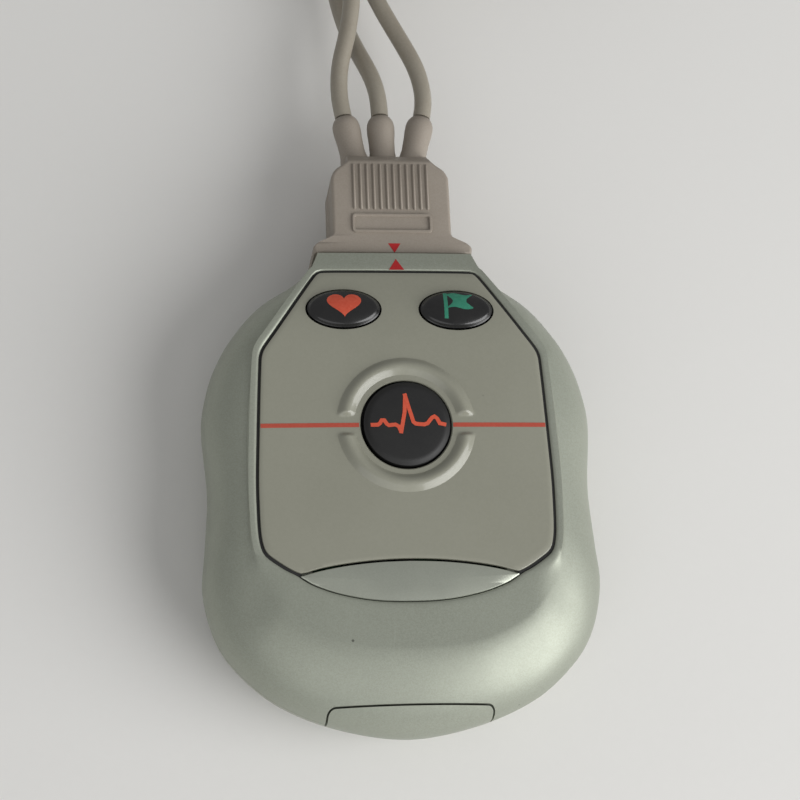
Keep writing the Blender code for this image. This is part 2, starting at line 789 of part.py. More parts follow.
def pin_places():
    return [(i - (pin_count - 1) / 2) * pin_pitch for i in range(pin_count)]


def make_socket():
    z0, z1 = socket_height
    body = box("socket_body", (-socket_half_width, socket_start, z0), (socket_half_width, socket_end, z1),
               dark_plastic)
    cavity = box("socket_cavity", (-socket_half_width + socket_wall, socket_start + socket_back,
                                   z0 + socket_wall),
                 (socket_half_width - socket_wall, socket_end + overrun, z1 - socket_wall))
    combine(body, cavity)
    pin_z = (z0 + z1) / 2
    for i, x in enumerate(pin_places()):
        hole = rod(f"pin_hole_{i + 1}", (x, socket_start - overrun, pin_z),
                   (x, socket_start + socket_back + overrun, pin_z), pin_radius + gap, steps=8)
        combine(body, hole)
        rod(f"socket_pin_{i + 1}", (x, socket_start - pin_tail, pin_z),
            (x, socket_start + pin_reach, pin_z), pin_radius, brass, steps=8)


def plug_outline(start):
    flange = start + plug_flange_length
    shoulder = flange + plug_shoulder_length
    end = start + plug_length
    right = [(plug_flange_half_width, start), (plug_flange_half_width, flange),
             (plug_half_width, shoulder), (plug_half_width, end - plug_tip_length),
             (plug_tip_half_width, end)]
    return right + [(-x, y) for x, y in reversed(right)]


def relief_axis(name):
    across, reach = relief_places[name]
    start = Vector((across, half_length + gap + plug_length, plug_centre_z))
    end = start + Vector((*reach, 0))
    return start, end, (end - start).normalized()


def make_plug():
    start = half_length + gap
    loop = plug_outline(start)
    end = start + plug_length
    low, high = plug_centre_z - plug_half_height, plug_centre_z + plug_half_height
    halves = []
    for name, bottom, top in (("plug_bottom", low, plug_centre_z - gap / 2),
                              ("plug_top", plug_centre_z + gap / 2, high)):
        half = loft(name, [raised(loop, bottom), raised(loop, top)], beige_plastic)
        edge = half.modifiers.new("edges", "BEVEL")
        edge.width = plug_edge
        edge.segments = 2
        edge.limit_method = "VGROUP"
        group = half.vertex_groups.new(name="outer")
        outside = bottom if name == "plug_bottom" else top
        rim = [v.index for v in half.data.vertices
               if abs(v.co.z - outside) < gap and abs(v.co.x) > gap]
        group.add(rim, 1, "REPLACE")
        edge.vertex_group = "outer"
        halves.append(half)
    hollow = box("plug_hollow", (-plug_half_width + plug_wall, start + plug_wall, low + plug_wall),
                 (plug_half_width - plug_wall, end - plug_tip_length, high - plug_wall))
    tip_hollow = box("plug_tip_hollow", (-plug_tip_half_width, end - plug_tip_length - plug_wall,
                                         low + plug_wall),
                     (plug_tip_half_width, end - plug_wall, high - plug_wall))
    pin_z = sum(socket_height) / 2
    mouth = box("plug_mouth", (-tongue_half_width - gap, start - overrun,
                               pin_z - tongue_thickness / 2 - gap),
                (tongue_half_width + gap, start + plug_wall + overrun,
                 pin_z + tongue_thickness / 2 + gap))
    for half in halves:
        combine(half, hollow)
        combine(half, tip_hollow)
        combine(half, mouth)
    insert = box("plug_insert", (-tongue_half_width, tongue_y, pin_z - tongue_thickness / 2),
                 (tongue_half_width, start + plug_wall + insert_length, pin_z + tongue_thickness / 2),
                 dark_plastic)
    root = box("insert_root", (-insert_half_width + gap, start + plug_wall + gap,
                               low + plug_wall + gap),
               (insert_half_width - gap, start + plug_wall + insert_length - gap,
                high - plug_wall - gap))
    combine(insert, root, "UNION")
    for i, x in enumerate(pin_places()):
        bore = rod(f"insert_bore_{i + 1}", (x, tongue_y - overrun, pin_z),
                   (x, tongue_y + tongue_bore_depth, pin_z), tongue_bore_radius, steps=8)
        combine(insert, bore)
    reliefs = []
    for name in relief_places:
        root_point, mouth_point, along = relief_axis(name)
        length = (mouth_point - root_point).length
        inner = -plug_wall - relief_flange_length - gap
        seat = gap + relief_root_radius * abs(along.x)
        relief = turned(f"strain_relief_{name}",
                        [(0, length), (relief_mouth_radius, length), (relief_root_radius, seat),
                         (relief_neck_radius, seat), (relief_neck_radius, -plug_wall - gap),
                         (relief_flange_radius, -plug_wall - gap), (relief_flange_radius, inner),
                         (0, inner)],
                        root_point, along, beige_plastic, 12)
        hole = rod(f"relief_hole_{name}", root_point - along * (plug_wall + overrun),
                   root_point + along * overrun, relief_neck_radius + gap)
        for half in halves:
            combine(half, hole)
        reliefs.append(relief)
    add_grip(halves, start, low, high)
    return [*halves, insert, *reliefs]


def add_grip(halves, start, low, high):
    for half, surface, side in ((halves[0], low, -1), (halves[1], high, 1)):
        z = sorted((surface - side * gap, surface + side * grip_rib_height))
        for i in range(grip_ribs):
            x = (i - (grip_ribs - 1) / 2) * grip_pitch
            rib = box(f"{half.name}_rib_{i + 1}", (x - grip_rib_width / 2, start + grip_start, z[0]),
                      (x + grip_rib_width / 2, start + grip_start + grip_length, z[1]))
            combine(half, rib, "UNION")
    top = high + grip_rib_height
    y0, y1 = start + frame_start, start + frame_start + frame_length
    frame = box("grip_frame", (-grip_half_width, y0, high - gap), (grip_half_width, y1, top))
    window = box("grip_window", (-grip_half_width + frame_edge, y0 + frame_edge, high),
                 (grip_half_width - frame_edge, y1 - frame_edge, top + overrun))
    combine(frame, window)
    combine(halves[1], frame, "UNION")


# A coil of two layers: in along the lower one, up in the half turn at the middle, out along the upper one
def coil_points(name):
    floor = coil_floor + 2 * coil_layer[name] * coil_pitch
    total = 2 * layer_turns + 0.5 + coil_turns_extra[name]
    count = round(total * coil_points_per_turn)
    points = []
    for i in range(count + 1):
        turn = total * i / count
        if turn <= layer_turns:
            inward, climb = turn, 0
        elif turn < layer_turns + 0.5:
            t = turn - layer_turns
            inward = layer_turns + t - 2 * t ** 2
            climb = (2 * t) ** 2 * (3 - 4 * t)
        else:
            inward, climb = 2 * layer_turns + 0.5 - turn, 1
        radius = coil_outer_radii[name] - coil_pitch * inward
        angle = math.pi - math.tau * turn
        points.append(Vector((coil_centre[0] + radius * math.cos(angle),
                              coil_centre[1] + radius * math.sin(angle), floor + coil_pitch * climb)))
    return points


def lead_paths(name):
    coil = coil_points(name)
    straight = Vector((0, lead_diameter, 0))
    coil.insert(0, coil[0] - straight)
    _, mouth, along = relief_axis(name)
    run_start = mouth + along * gap
    run_end = coil[0] - Vector((0, gap, 0))
    route = [run_start, run_start + along * lead_diameter,
             *(Vector(point) for point in run_routes[name]), run_end - straight, run_end]
    run = evenly(curve_through([tuple(point) for point in route], run_curve_steps), run_points)
    run[0] = run_start
    run[-1] = run_end
    centre = Vector((*coil_centre, 0))
    place, heading = tail_ends[name]
    tail_z = snap_z(name)
    tail_end = Vector((coil_centre[0] + place[0], coil_centre[1] + place[1], tail_z))
    toward = Vector((*heading, 0))
    tail_route = [coil[-1], *(centre + Vector(point) for point in tail_routes[name]),
                  tail_end - toward * lead_diameter, tail_end]
    tail = curve_through([tuple(coil[-2]), *(tuple(point) for point in tail_route)], tail_curve_steps)
    tail = evenly(tail[tail_curve_steps:], (len(tail_route) - 1) * 2 + 1)
    return run, coil + [Vector(point) for point in tail[1:]], tail_end, toward


def snap_z(name):
    layer = coil_layer[name]
    if name == "left":
        top = coil_floor + (2 * layer + 1) * coil_pitch + lead_diameter / 2
        return top + gap + snap_height / 2
    return snap_rest + snap_height / 2


def path_length(points):
    return sum((b - a).length for a, b in zip(points, points[1:]))


def least_self_gap(points, diameter):
    samples_across = 4
    fine = evenly(points, int(path_length(points) / diameter * samples_across))
    skip = 2 * samples_across
    least = min((fine[i] - fine[j]).length for i in range(len(fine)) for j in range(i + skip, len(fine)))
    return least - diameter


def make_snap(name, tail_end, toward):
    middle = tail_end + toward * snap_reach
    low = middle.z - snap_height / 2
    rounding = snap_height * snap_rounding_share
    housing = turned(f"snap_{name}",
                     [(0, snap_height), (snap_radius - rounding, snap_height),
                      (snap_radius, snap_height - rounding), (snap_radius, rounding),
                      (snap_radius - rounding, 0), (0, 0)],
                     (middle.x, middle.y, low), (0, 0, 1), beige_plastic, 16)
    neck = rod(f"snap_neck_{name}", tail_end + toward * gap, middle - toward * snap_radius / 2,
               snap_neck_end_radius, end_radius=snap_neck_root_radius, steps=8)
    combine(housing, neck, "UNION")
    floor = low + snap_height - snap_recess_depth
    recess = rod(f"snap_recess_{name}", (middle.x, middle.y, floor),
                 (middle.x, middle.y, low + snap_height + overrun), snap_recess_radius, steps=16)
    combine(housing, recess)
    ring = turned(f"snap_socket_{name}",
                  [(snap_ring_radius, snap_ring_height), (snap_ring_radius, 0), (snap_ring_bore, 0),
                   (snap_ring_bore, snap_ring_height)],
                  (middle.x, middle.y, floor + gap), (0, 0, 1), steel, small_round_steps, ring=True)
    return [housing, ring]


def make_leads():
    pieces = []
    for name in relief_places:
        run, coil, tail_end, toward = lead_paths(name)
        total = path_length(run) + path_length(coil)
        print(f"lead_{name}: {total:.4f} m long, coil's least gap to itself "
              f"{least_self_gap(coil, lead_diameter) * 1000:.2f} mm")
        pieces.append(tube(f"lead_{name}_run", run, lead_diameter, lead_plastic, 2))
        pieces.append(tube(f"lead_{name}_coil", coil, lead_diameter, lead_plastic, 1))
        pieces += make_snap(name, tail_end, toward)
    pieces.append(make_tie())
    return pieces


def make_tie():
    outer_radius = max(coil_outer_radii.values()) + lead_diameter / 2
    inner_radius = min(coil_outer_radii.values()) - coil_pitch * (layer_turns + tie_slack_share)
    radii = (inner_radius - lead_diameter / 2 - tie_clearance, outer_radius + tie_clearance)
    top = coil_floor + coil_top_layers * coil_pitch + lead_diameter / 2 + tie_clearance
    low = coil_floor - lead_diameter / 2 - tie_clearance
    tie = box("cable_tie", (radii[0] - tie_thickness, -tie_width / 2, low - tie_thickness),
              (radii[1] + tie_thickness, tie_width / 2, top + tie_thickness), dark_plastic)
    window = box("tie_window", (radii[0], -tie_width / 2 - overrun, low),
                 (radii[1], tie_width / 2 + overrun, top))
    combine(tie, window)
    for piece in (tie, window):
        turn = Matrix.Rotation(tie_angle, 4, "Z")
        piece.data.transform(Matrix.Translation((*coil_centre, 0)) @ turn)
    return tie


def build():
    front = make_housing(*make_battery_door())
    faceplate = make_face(front)
    make_button("event", event_half, event_place, front, faceplate)
    make_button("heart", oval_half, (-oval_x, oval_y), front, faceplate)
    make_button("marker", oval_half, (oval_x, oval_y), front, faceplate)
    make_cells()
    make_board()
    make_seal()
    make_socket()
    cable = make_plug() + make_leads()
    carry("plug_pull_axis", (0, half_length, plug_centre_z), cable)
    door = bpy.data.objects["battery_door"]
    carry("door_slide_axis", (0, 0, 0), [door])


clear_scene()
recorder = make_collection("heart_event_recorder")
tools = make_collection("cutters")
build()
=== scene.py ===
import math
import bmesh
import bpy
from mathutils import Matrix, Vector


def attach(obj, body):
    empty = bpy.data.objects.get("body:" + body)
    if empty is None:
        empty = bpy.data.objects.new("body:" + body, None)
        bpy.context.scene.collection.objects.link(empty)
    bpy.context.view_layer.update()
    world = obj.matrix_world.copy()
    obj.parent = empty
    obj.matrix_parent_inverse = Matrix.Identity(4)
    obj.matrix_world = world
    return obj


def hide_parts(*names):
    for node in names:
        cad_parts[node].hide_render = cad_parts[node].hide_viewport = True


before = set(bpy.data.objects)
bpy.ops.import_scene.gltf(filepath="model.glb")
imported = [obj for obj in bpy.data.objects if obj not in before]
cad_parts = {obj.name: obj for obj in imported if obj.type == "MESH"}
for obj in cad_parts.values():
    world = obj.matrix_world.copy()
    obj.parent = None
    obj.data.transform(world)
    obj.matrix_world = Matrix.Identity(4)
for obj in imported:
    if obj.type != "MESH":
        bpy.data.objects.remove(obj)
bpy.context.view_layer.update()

print("frame loaded:", len(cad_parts), "nodes")


# small helpers used by every piece

def deselectAll():
    if bpy.context.object and bpy.context.object.mode != "OBJECT":
        bpy.ops.object.mode_set(mode="OBJECT")
    bpy.ops.object.select_all(action="DESELECT")


def takeUp(piece):
    deselectAll()
    piece.select_set(True)
    bpy.context.view_layer.objects.active = piece


# rings of equal count, each pulled out of the one before; joinEnds closes the skin like a tyre
def ringStack(name, rings, joinEnds=False):
    deselectAll()
    bpy.ops.mesh.primitive_circle_add(vertices=len(rings[0]), radius=0.01)
    piece = bpy.context.object
    piece.name = piece.data.name = name
    bpy.ops.object.mode_set(mode="EDIT")
    bpy.ops.mesh.select_mode(type="VERT")
    bpy.ops.mesh.select_all(action="SELECT")
    work = bmesh.from_edit_mesh(piece.data)
    work.verts.ensure_lookup_table()
    current = list(work.verts)
    for vert, place in zip(current, rings[0]):
        vert.co = place
    if not joinEnds:
        bpy.ops.mesh.edge_face_add()
    for ring in rings[1:]:
        bpy.ops.mesh.extrude_edges_move()
        work = bmesh.from_edit_mesh(piece.data)
        grown = []
        for vert in current:
            partner = [e.other_vert(vert) for e in vert.link_edges if e.other_vert(vert).select]
            grown.append([v for v in partner if v not in current][0])
        for vert, place in zip(grown, ring):
            vert.co = place
        current = grown
    if joinEnds:
        bpy.ops.mesh.select_all(action="SELECT")
        bpy.ops.mesh.remove_doubles(threshold=0.0000005)
    else:
        bpy.ops.mesh.edge_face_add()
    bpy.ops.mesh.select_all(action="SELECT")
    bpy.ops.mesh.normals_make_consistent(inside=False)
    bpy.ops.object.mode_set(mode="OBJECT")
    return piece


def makeBox(name, low, high):
    deselectAll()
    size = Vector(high) - Vector(low)
    bpy.ops.mesh.primitive_cube_add(size=1, location=(Vector(low) + Vector(high)) / 2, scale=size)
    piece = bpy.context.object
    piece.name = piece.data.name = name
    bpy.ops.object.transform_apply(location=True, rotation=False, scale=True)
    return piece


# a box from -halfX to halfX between two depths and two heights
def middleBox(name, halfX, depths, heights):
    return makeBox(name, (-halfX, depths[0], heights[0]), (halfX, depths[1], heights[1]))


def combine(piece, tool, operation="DIFFERENCE", keepTool=False):
    takeUp(piece)
    step = piece.modifiers.new("cut", "BOOLEAN")
    step.operation = operation
    step.solver = "EXACT"
    step.object = tool
    bpy.ops.object.modifier_apply(modifier=step.name)
    if not keepTool:
        bpy.data.objects.remove(tool)


def joined(name, pieces):
    takeUp(pieces[0])
    for piece in pieces[1:]:
        piece.select_set(True)
    bpy.ops.object.join()
    pieces[0].name = pieces[0].data.name = name
    return pieces[0]


def smoothed(piece, angle=32):
    takeUp(piece)
    bpy.ops.object.shade_smooth_by_angle(angle=math.radians(angle))
    return piece


def dressed(piece, material, carrier, replaced=()):
    piece.data.materials.clear()
    piece.data.materials.append(material)
    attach(piece, carrier)
    if replaced:
        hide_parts(*replaced)
    return piece


# Catmull-Rom curve with the same number of steps between each two points
def curveThrough(points, steps):
    first = tuple(2 * a - b for a, b in zip(points[0], points[1]))
    last = tuple(2 * a - b for a, b in zip(points[-1], points[-2]))
    path = [first, *points, last]
    line = []
    for i in range(1, len(path) - 2):
        before, start, end, after = path[i - 1:i + 3]
        for k in range(steps):
            t = k / steps
            line.append(tuple(0.5 * (2 * b + (c - a) * t + (2 * a - 5 * b + 4 * c - d) * t ** 2
                                     + (3 * b - a - 3 * c + d) * t ** 3)
                              for a, b, c, d in zip(before, start, end, after)))
    line.append(tuple(points[-1]))
    return line


def evenly(points, count):
    reach = [0]
    for a, b in zip(points, points[1:]):
        reach.append(reach[-1] + (Vector(b) - Vector(a)).length)
    line = []
    k = 0
    for i in range(count):
        wanted = reach[-1] * i / (count - 1)
        while k < len(points) - 2 and reach[k + 1] < wanted:
            k += 1
        share = (wanted - reach[k]) / (reach[k + 1] - reach[k])
        line.append(Vector(points[k]).lerp(Vector(points[k + 1]), share))
    return line


# distances from a centre to an outline, one for each direction
def reachOf(outline, centre, directions):
    result = []
    for angle in directions:
        dx, dy = math.cos(angle), math.sin(angle)
        best = 0
        for i, (ax, ay) in enumerate(outline):
            bx, by = outline[(i + 1) % len(outline)]
            ax, ay, bx, by = ax - centre[0], ay - centre[1], bx - centre[0], by - centre[1]
            side = (bx - ax) * dy - (by - ay) * dx
            if abs(side) < 1e-12:
                continue
            along = (ay * dx - ax * dy) / side
            distance = (ax + (bx - ax) * along) * dx + (ay + (by - ay) * along) * dy
            if -1e-6 <= along <= 1 + 1e-6 and distance > best:
                best = distance
        result.append(best)
    return result


def raysOf(count):
    return [-math.pi / 2 + math.tau * i / count for i in range(count)]


def ringFrom(centre, directions, reach, height):
    ring = []
    for angle, r in zip(directions, reach):
        x, y = centre[0] + r * math.cos(angle), centre[1] + r * math.sin(angle)
        ring.append((x, y, height(x, y) if callable(height) else height))
    return ring


# an outline drawn toward a middle by a share, and laid over a surface
def shrunk(outline, middle, share, surface, rise):
    ring = []
    for x, y in outline:
        px, py = middle[0] + (x - middle[0]) * share, middle[1] + (y - middle[1]) * share
        ring.append((px, py, surface(px, py) + rise))
    return ring


# a rounded rectangle; low and high are the middles of its corner arcs
def roundedLoop(low, high, radius, steps):
    loop = []
    for cx, cy, first in ((high[0], low[1], -90), (*high, 0), (low[0], high[1], 90), (*low, 180)):
        for k in range(steps + 1):
            angle = math.radians(first + 90 * k / steps)
            loop.append((cx + radius * math.cos(angle), cy + radius * math.sin(angle)))
    return loop


# points on the way from one point to another, without the last one
def spaced(start, end, steps):
    return [tuple(a + (b - a) * k / steps for a, b in zip(start, end)) for k in range(steps)]


def mixed(first, second, share):
    return [a + (b - a) * share for a, b in zip(first, second)]


def smoothStep(value, low, high):
    t = min(1, max(0, (value - low) / (high - low)))
    return t * t * (3 - 2 * t)


def ink(red, green, blue):
    channels = [c / 255 for c in (red, green, blue)]
    return (*[c / 12.92 if c <= 0.04045 else ((c + 0.055) / 1.055) ** 2.4 for c in channels], 1)


# camera at the photograph's angle

cameraView = {
    "place": (-0.041979, -0.0825095, 0.315458),
    "across": (0.9912, -0.0428, 0.1256),
    "up": (0.0021, 0.9515, 0.3075),
    "back": (-0.1326, -0.3046, 0.9432),
    "lens": 91.21,
    "sensor": 36,
}


def makeCamera():
    lens = bpy.data.cameras.new("photoCamera")
    lens.lens = cameraView["lens"]
    lens.sensor_width = cameraView["sensor"]
    lens.clip_start = 0.01
    lens.clip_end = 20
    camera = bpy.data.objects.new("photoCamera", lens)
    turn = Matrix((cameraView["across"], cameraView["up"], cameraView["back"])).transposed().to_4x4()
    camera.matrix_world = Matrix.Translation(cameraView["place"]) @ turn
    bpy.context.scene.collection.objects.link(camera)
    bpy.context.scene.camera = camera


makeCamera()
print("camera placed")


# finishes

# a node group; inputs are given as label and first value, outputs as label and kind
def makeGroup(name, inputs, outputs):
    group = bpy.data.node_groups.new(name, "ShaderNodeTree")
    for label, value in inputs.items():
        kind = "Color" if isinstance(value, tuple) else "Float"
        socket = group.interface.new_socket(name=label, in_out="INPUT", socket_type="NodeSocket" + kind)
        socket.default_value = value
    for label, kind in outputs.items():
        group.interface.new_socket(name=label, in_out="OUTPUT", socket_type="NodeSocket" + kind)
    return group, group.nodes.new("NodeGroupInput").outputs, group.nodes.new("NodeGroupOutput").inputs


# a node with its settings; its inputs are given as values or as the sockets that feed them
def place(tree, kind, inputs=None, **settings):
    node = tree.nodes.new("ShaderNode" + kind)
    for name, value in settings.items():
        setattr(node, name, value)
    for label, value in (inputs or {}).items():
        if isinstance(value, bpy.types.NodeSocket):
            tree.links.new(value, node.inputs[label])
        else:
            node.inputs[label].default_value = value
    return node.outputs


def product(tree, first, second):
    return place(tree, "Math", {0: first, 1: second}, operation="MULTIPLY")["Value"]


# one colour over another; 6, 7 and 2 are the colour sockets of the mix node
def over(tree, ground, colour, amount):
    return place(tree, "Mix", {"Factor": amount, 6: ground, 7: colour}, data_type="RGBA")[2]


# broad patches and fine flecks, as in sprayed paint and moulded plastic
def makeSpeckle():
    tree, given, out = makeGroup("speckle", {
        "Base": (0.5, 0.5, 0.5, 1), "Shade": (0.4, 0.4, 0.4, 1), "Fleck": (0.7, 0.7, 0.7, 1),
        "Patch Scale": 60, "Fleck Scale": 4000, "Fleck Amount": 0.3}, {"Color": "Color", "Height": "Float"})
    where = place(tree, "TexCoord")["Object"]
    patches = place(tree, "TexNoise", {"Vector": where, "Scale": given["Patch Scale"], "Detail": 4})["Fac"]
    soft = place(tree, "MapRange", {"Value": patches, "From Min": 0.35, "From Max": 0.65},
                 interpolation_type="SMOOTHSTEP")["Result"]
    ground = over(tree, given["Base"], given["Shade"], soft)
    grains = place(tree, "TexVoronoi", {"Vector": where, "Scale": given["Fleck Scale"]})["Color"]
    split = place(tree, "SeparateColor", {"Color": grains})
    amount = product(tree, split["Red"], given["Fleck Amount"])
    tree.links.new(over(tree, ground, given["Fleck"], amount), out["Color"])
    tree.links.new(split["Green"], out["Height"])
    return tree


# rubbed places as a roughness between two values, hair scratches and a few specks of dirt
def makeHandling():
    tree, given, out = makeGroup("handling", {
        "Low": 0.3, "High": 0.5, "Scale": 120, "Color": (0.5, 0.5, 0.5, 1), "Dirt": (0.03, 0.03, 0.025, 1),
        "Specks": 0, "Scuffs": 0}, {"Roughness": "Float", "Color": "Color"})
    where = place(tree, "TexCoord")["Object"]
    rubs = place(tree, "TexNoise", {"Vector": where, "Scale": given["Scale"], "Detail": 6,
                                    "Roughness": 0.65})
    spread = place(tree, "MapRange", {"Value": rubs["Fac"], "From Min": 0.3, "From Max": 0.7,
                                      "To Min": given["Low"], "To Max": given["High"]})
    turn = place(tree, "Mapping", {"Vector": where, "Rotation": (0, 0, 0.6), "Scale": (1, 0.06, 1)})
    lines = place(tree, "TexVoronoi", {"Vector": turn["Vector"], "Scale": 420}, feature="DISTANCE_TO_EDGE")
    thin = place(tree, "MapRange", {"Value": lines["Distance"], "From Max": 0.012,
                                    "To Min": 1, "To Max": 0})
    cells = place(tree, "TexVoronoi", {"Vector": where, "Scale": 230})
    dots = place(tree, "MapRange", {"Value": cells["Distance"], "From Min": 0.035, "From Max": 0.06,
                                    "To Min": 1, "To Max": 0})
    chance = place(tree, "SeparateColor", {"Color": cells["Color"]})
    few = place(tree, "Math", {0: chance["Red"], 1: 0.82}, operation="GREATER_THAN")
    scuffAmount = product(tree, thin["Result"], given["Scuffs"])
    scuffed = over(tree, given["Color"], ink(205, 207, 200), scuffAmount)
    speckAmount = product(tree, product(tree, dots["Result"], few["Value"]), given["Specks"])
    tree.links.new(over(tree, scuffed, given["Dirt"], speckAmount), out["Color"])
    tree.links.new(spread["Result"], out["Roughness"])
    return tree


speckle = makeSpeckle()
handling = makeHandling()


# a material from three written colours; further socket values come by their names, with _ for a space
def finish(name, base, shade, fleck, patchScale=60, fleckScale=4000, fleckAmount=0.3, low=0.3, high=0.45,
           bump=0.15, specks=0, scuffs=0, **sockets):
    material = bpy.data.materials.new(name)
    material.use_nodes = True
    tree = material.node_tree
    shader = tree.nodes["Principled BSDF"]
    for label, value in sockets.items():
        shader.inputs[label.replace("_", " ")].default_value = value
    colours = place(tree, "Group", {"Base": ink(*base), "Shade": ink(*shade), "Fleck": ink(*fleck),
                                    "Patch Scale": patchScale, "Fleck Scale": fleckScale,
                                    "Fleck Amount": fleckAmount}, node_tree=speckle)
    rubbed = place(tree, "Group", {"Low": low, "High": high, "Specks": specks, "Scuffs": scuffs,
                                   "Color": colours["Color"]}, node_tree=handling)
    relief = place(tree, "Bump", {"Strength": bump, "Distance": 0.00002, "Height": colours["Height"]})
    for label, source in (("Base Color", rubbed["Color"]), ("Roughness", rubbed["Roughness"]),
                          ("Normal", relief["Normal"])):
        tree.links.new(source, shader.inputs[label])
    return material


silverPaint = finish(
    "silverPaint", (153, 157, 144), (149, 153, 140), (182, 187, 175), patchScale=38, fleckScale=6200,
    fleckAmount=0.26, low=0.41, high=0.48, bump=0.07, specks=0.7, scuffs=0.05, Metallic=0.45)
faceLacquer = finish(
    "faceLacquer", (142, 142, 128), (138, 138, 124), (156, 155, 142), patchScale=35, fleckScale=2600,
    fleckAmount=0.12, low=0.3, high=0.4, bump=0.04, specks=0.4, Coat_Weight=0.5, Coat_Roughness=0.1)
badgeSteel = finish(
    "badgeSteel", (174, 178, 165), (168, 172, 160), (196, 200, 190), patchScale=90, fleckScale=7000,
    fleckAmount=0.2, low=0.3, high=0.38, bump=0.05, Metallic=0.6)
buttonBlack = finish(
    "buttonBlack", (14, 14, 15), (18, 18, 18), (46, 44, 42), patchScale=200, fleckScale=1800,
    fleckAmount=0.1, low=0.2, high=0.32, bump=0.05, Coat_Weight=0.4, Coat_Roughness=0.12)
discBlack = finish(
    "discBlack", (22, 22, 23), (26, 26, 26), (44, 43, 41), patchScale=160, fleckScale=2600,
    fleckAmount=0.12, low=0.5, high=0.6, bump=0.05)
plugPlastic = finish(
    "plugPlastic", (148, 139, 128), (143, 134, 123), (162, 154, 143), patchScale=70, fleckScale=5600,
    fleckAmount=0.3, low=0.45, high=0.58, bump=0.25)
leadVinyl = finish(
    "leadVinyl", (146, 140, 127), (140, 133, 120), (162, 156, 144), patchScale=110, fleckScale=3500,
    fleckAmount=0.2, low=0.34, high=0.46, bump=0.08)
symbolRed = finish(
    "symbolRed", (205, 82, 56), (192, 74, 50), (220, 110, 84), fleckScale=3000, fleckAmount=0.25, low=0.3,
    high=0.45, bump=0.05)
symbolGreen = finish(
    "symbolGreen", (46, 130, 104), (40, 118, 94), (80, 156, 130), fleckScale=3000, fleckAmount=0.25,
    low=0.3, high=0.45, bump=0.05)
stripeRed = finish(
    "stripeRed", (176, 74, 58), (166, 68, 52), (190, 100, 82), fleckScale=3000, fleckAmount=0.2, low=0.3,
    high=0.42, bump=0.04)
arrowRed = finish(
    "arrowRed", (172, 22, 27), (160, 20, 24), (190, 50, 50), fleckScale=3000, fleckAmount=0.2, low=0.35,
    high=0.5, bump=0.05)
darkPlastic = finish(
    "darkPlastic", (40, 40, 43), (34, 34, 36), (60, 60, 62), fleckScale=4500, fleckAmount=0.3, low=0.45,
    high=0.6, bump=0.2)
boardMask = finish(
    "boardMask", (26, 92, 58), (20, 78, 48), (60, 120, 84), patchScale=420, fleckScale=900,
    fleckAmount=0.2, low=0.3, high=0.45)
brassMetal = finish(
    "brassMetal", (200, 164, 96), (180, 146, 82), (222, 190, 126), fleckScale=5200, low=0.22, high=0.36,
    Metallic=1.0)
steelMetal = finish(
    "steelMetal", (186, 188, 190), (170, 172, 174), (208, 210, 212), fleckScale=5200, low=0.22, high=0.38,
    Metallic=1.0)
cellWrap = finish(
    "cellWrap", (42, 66, 116), (36, 58, 104), (80, 104, 150), patchScale=80, fleckScale=3000,
    fleckAmount=0.2, low=0.28, high=0.4, Metallic=0.2)
# dark rubber of the seam seal; the same colour is painted shadow on the sheet in the face groove
sealRubberAndGrooveShade = finish(
    "sealRubberAndGrooveShade", (34, 34, 34), (28, 28, 28), (52, 52, 52), fleckScale=4500, low=0.65, high=0.8)
print("finishes made")


# cords: three leads from the plug to their snap connectors

lead = {
    "diameter": 0.0029,
    "length": 0.5,
    "plugEnd": 0.0568,
    "plugHeight": 0.01145,
    "gap": 0.0003,
    "easing": 10,
    "runSteps": 12,
    "runPoints": 64,
    "tailSteps": 8,
    "coilCentre": (0.012, 0.121),
    "coilOuter": {"left": 0.0193, "middle": 0.0193, "right": 0.0184},
    "coilPitch": 0.00345,
    "coilFloor": 0.0024,
    "pointsPerTurn": 48,
    "layerTurns": 1.75,
    "extraTurns": {"left": 0, "middle": 0, "right": 0.25},
    "layer": {"middle": 0, "right": 1, "left": 2},
    "roots": {"left": (-0.0050, (-0.0015, 0.0078)), "middle": (-0.0003, (-0.0002, 0.0080)),
              "right": (0.0045, (0.0019, 0.0079))},
    "runs": {
        "left": [(-0.0072, 0.0696, 0.01145), (-0.0069, 0.0745, 0.0117), (-0.0056, 0.0795, 0.0122),
                 (-0.0045, 0.087, 0.0127), (-0.0049, 0.097, 0.0136), (-0.0064, 0.107, 0.0149)],
        "middle": [(-0.0007, 0.0696, 0.0113), (-0.0017, 0.0738, 0.0102), (-0.0033, 0.0785, 0.0083),
                   (-0.0053, 0.086, 0.0054), (-0.0067, 0.096, 0.0031), (-0.0072, 0.107, 0.0023)],
        "right": [(0.0070, 0.0694, 0.0113), (0.0062, 0.0742, 0.0109), (0.0040, 0.0795, 0.0102),
                  (0.0006, 0.087, 0.0094), (-0.0032, 0.097, 0.0090), (-0.0063, 0.108, 0.0089)]},
    "tails": {
        "left": [(-0.0192, 0.0065, 0.0208), (-0.0160, 0.0114, 0.0230), (-0.0097, 0.0134, 0.0236),
                 (-0.0035, 0.0110, 0.0237), (-0.0003, 0.0060, 0.0237)],
        "middle": [(-0.0203, 0.0060, 0.0056), (-0.0218, 0.0125, 0.0042), (-0.0209, 0.0190, 0.0028)],
        "right": [(0.0080, 0.0203, 0.0113), (0.0165, 0.0186, 0.0081), (0.0228, 0.0142, 0.0048),
                  (0.0260, 0.0090, 0.0029)]},
    "tailEnds": {"left": ((-0.0001, 0.0008), (0, -1)), "middle": ((-0.0164, 0.0255), (0.6, 0.8)),
                 "right": ((0.0270, 0.0040), (0.05, -0.99875))},
}
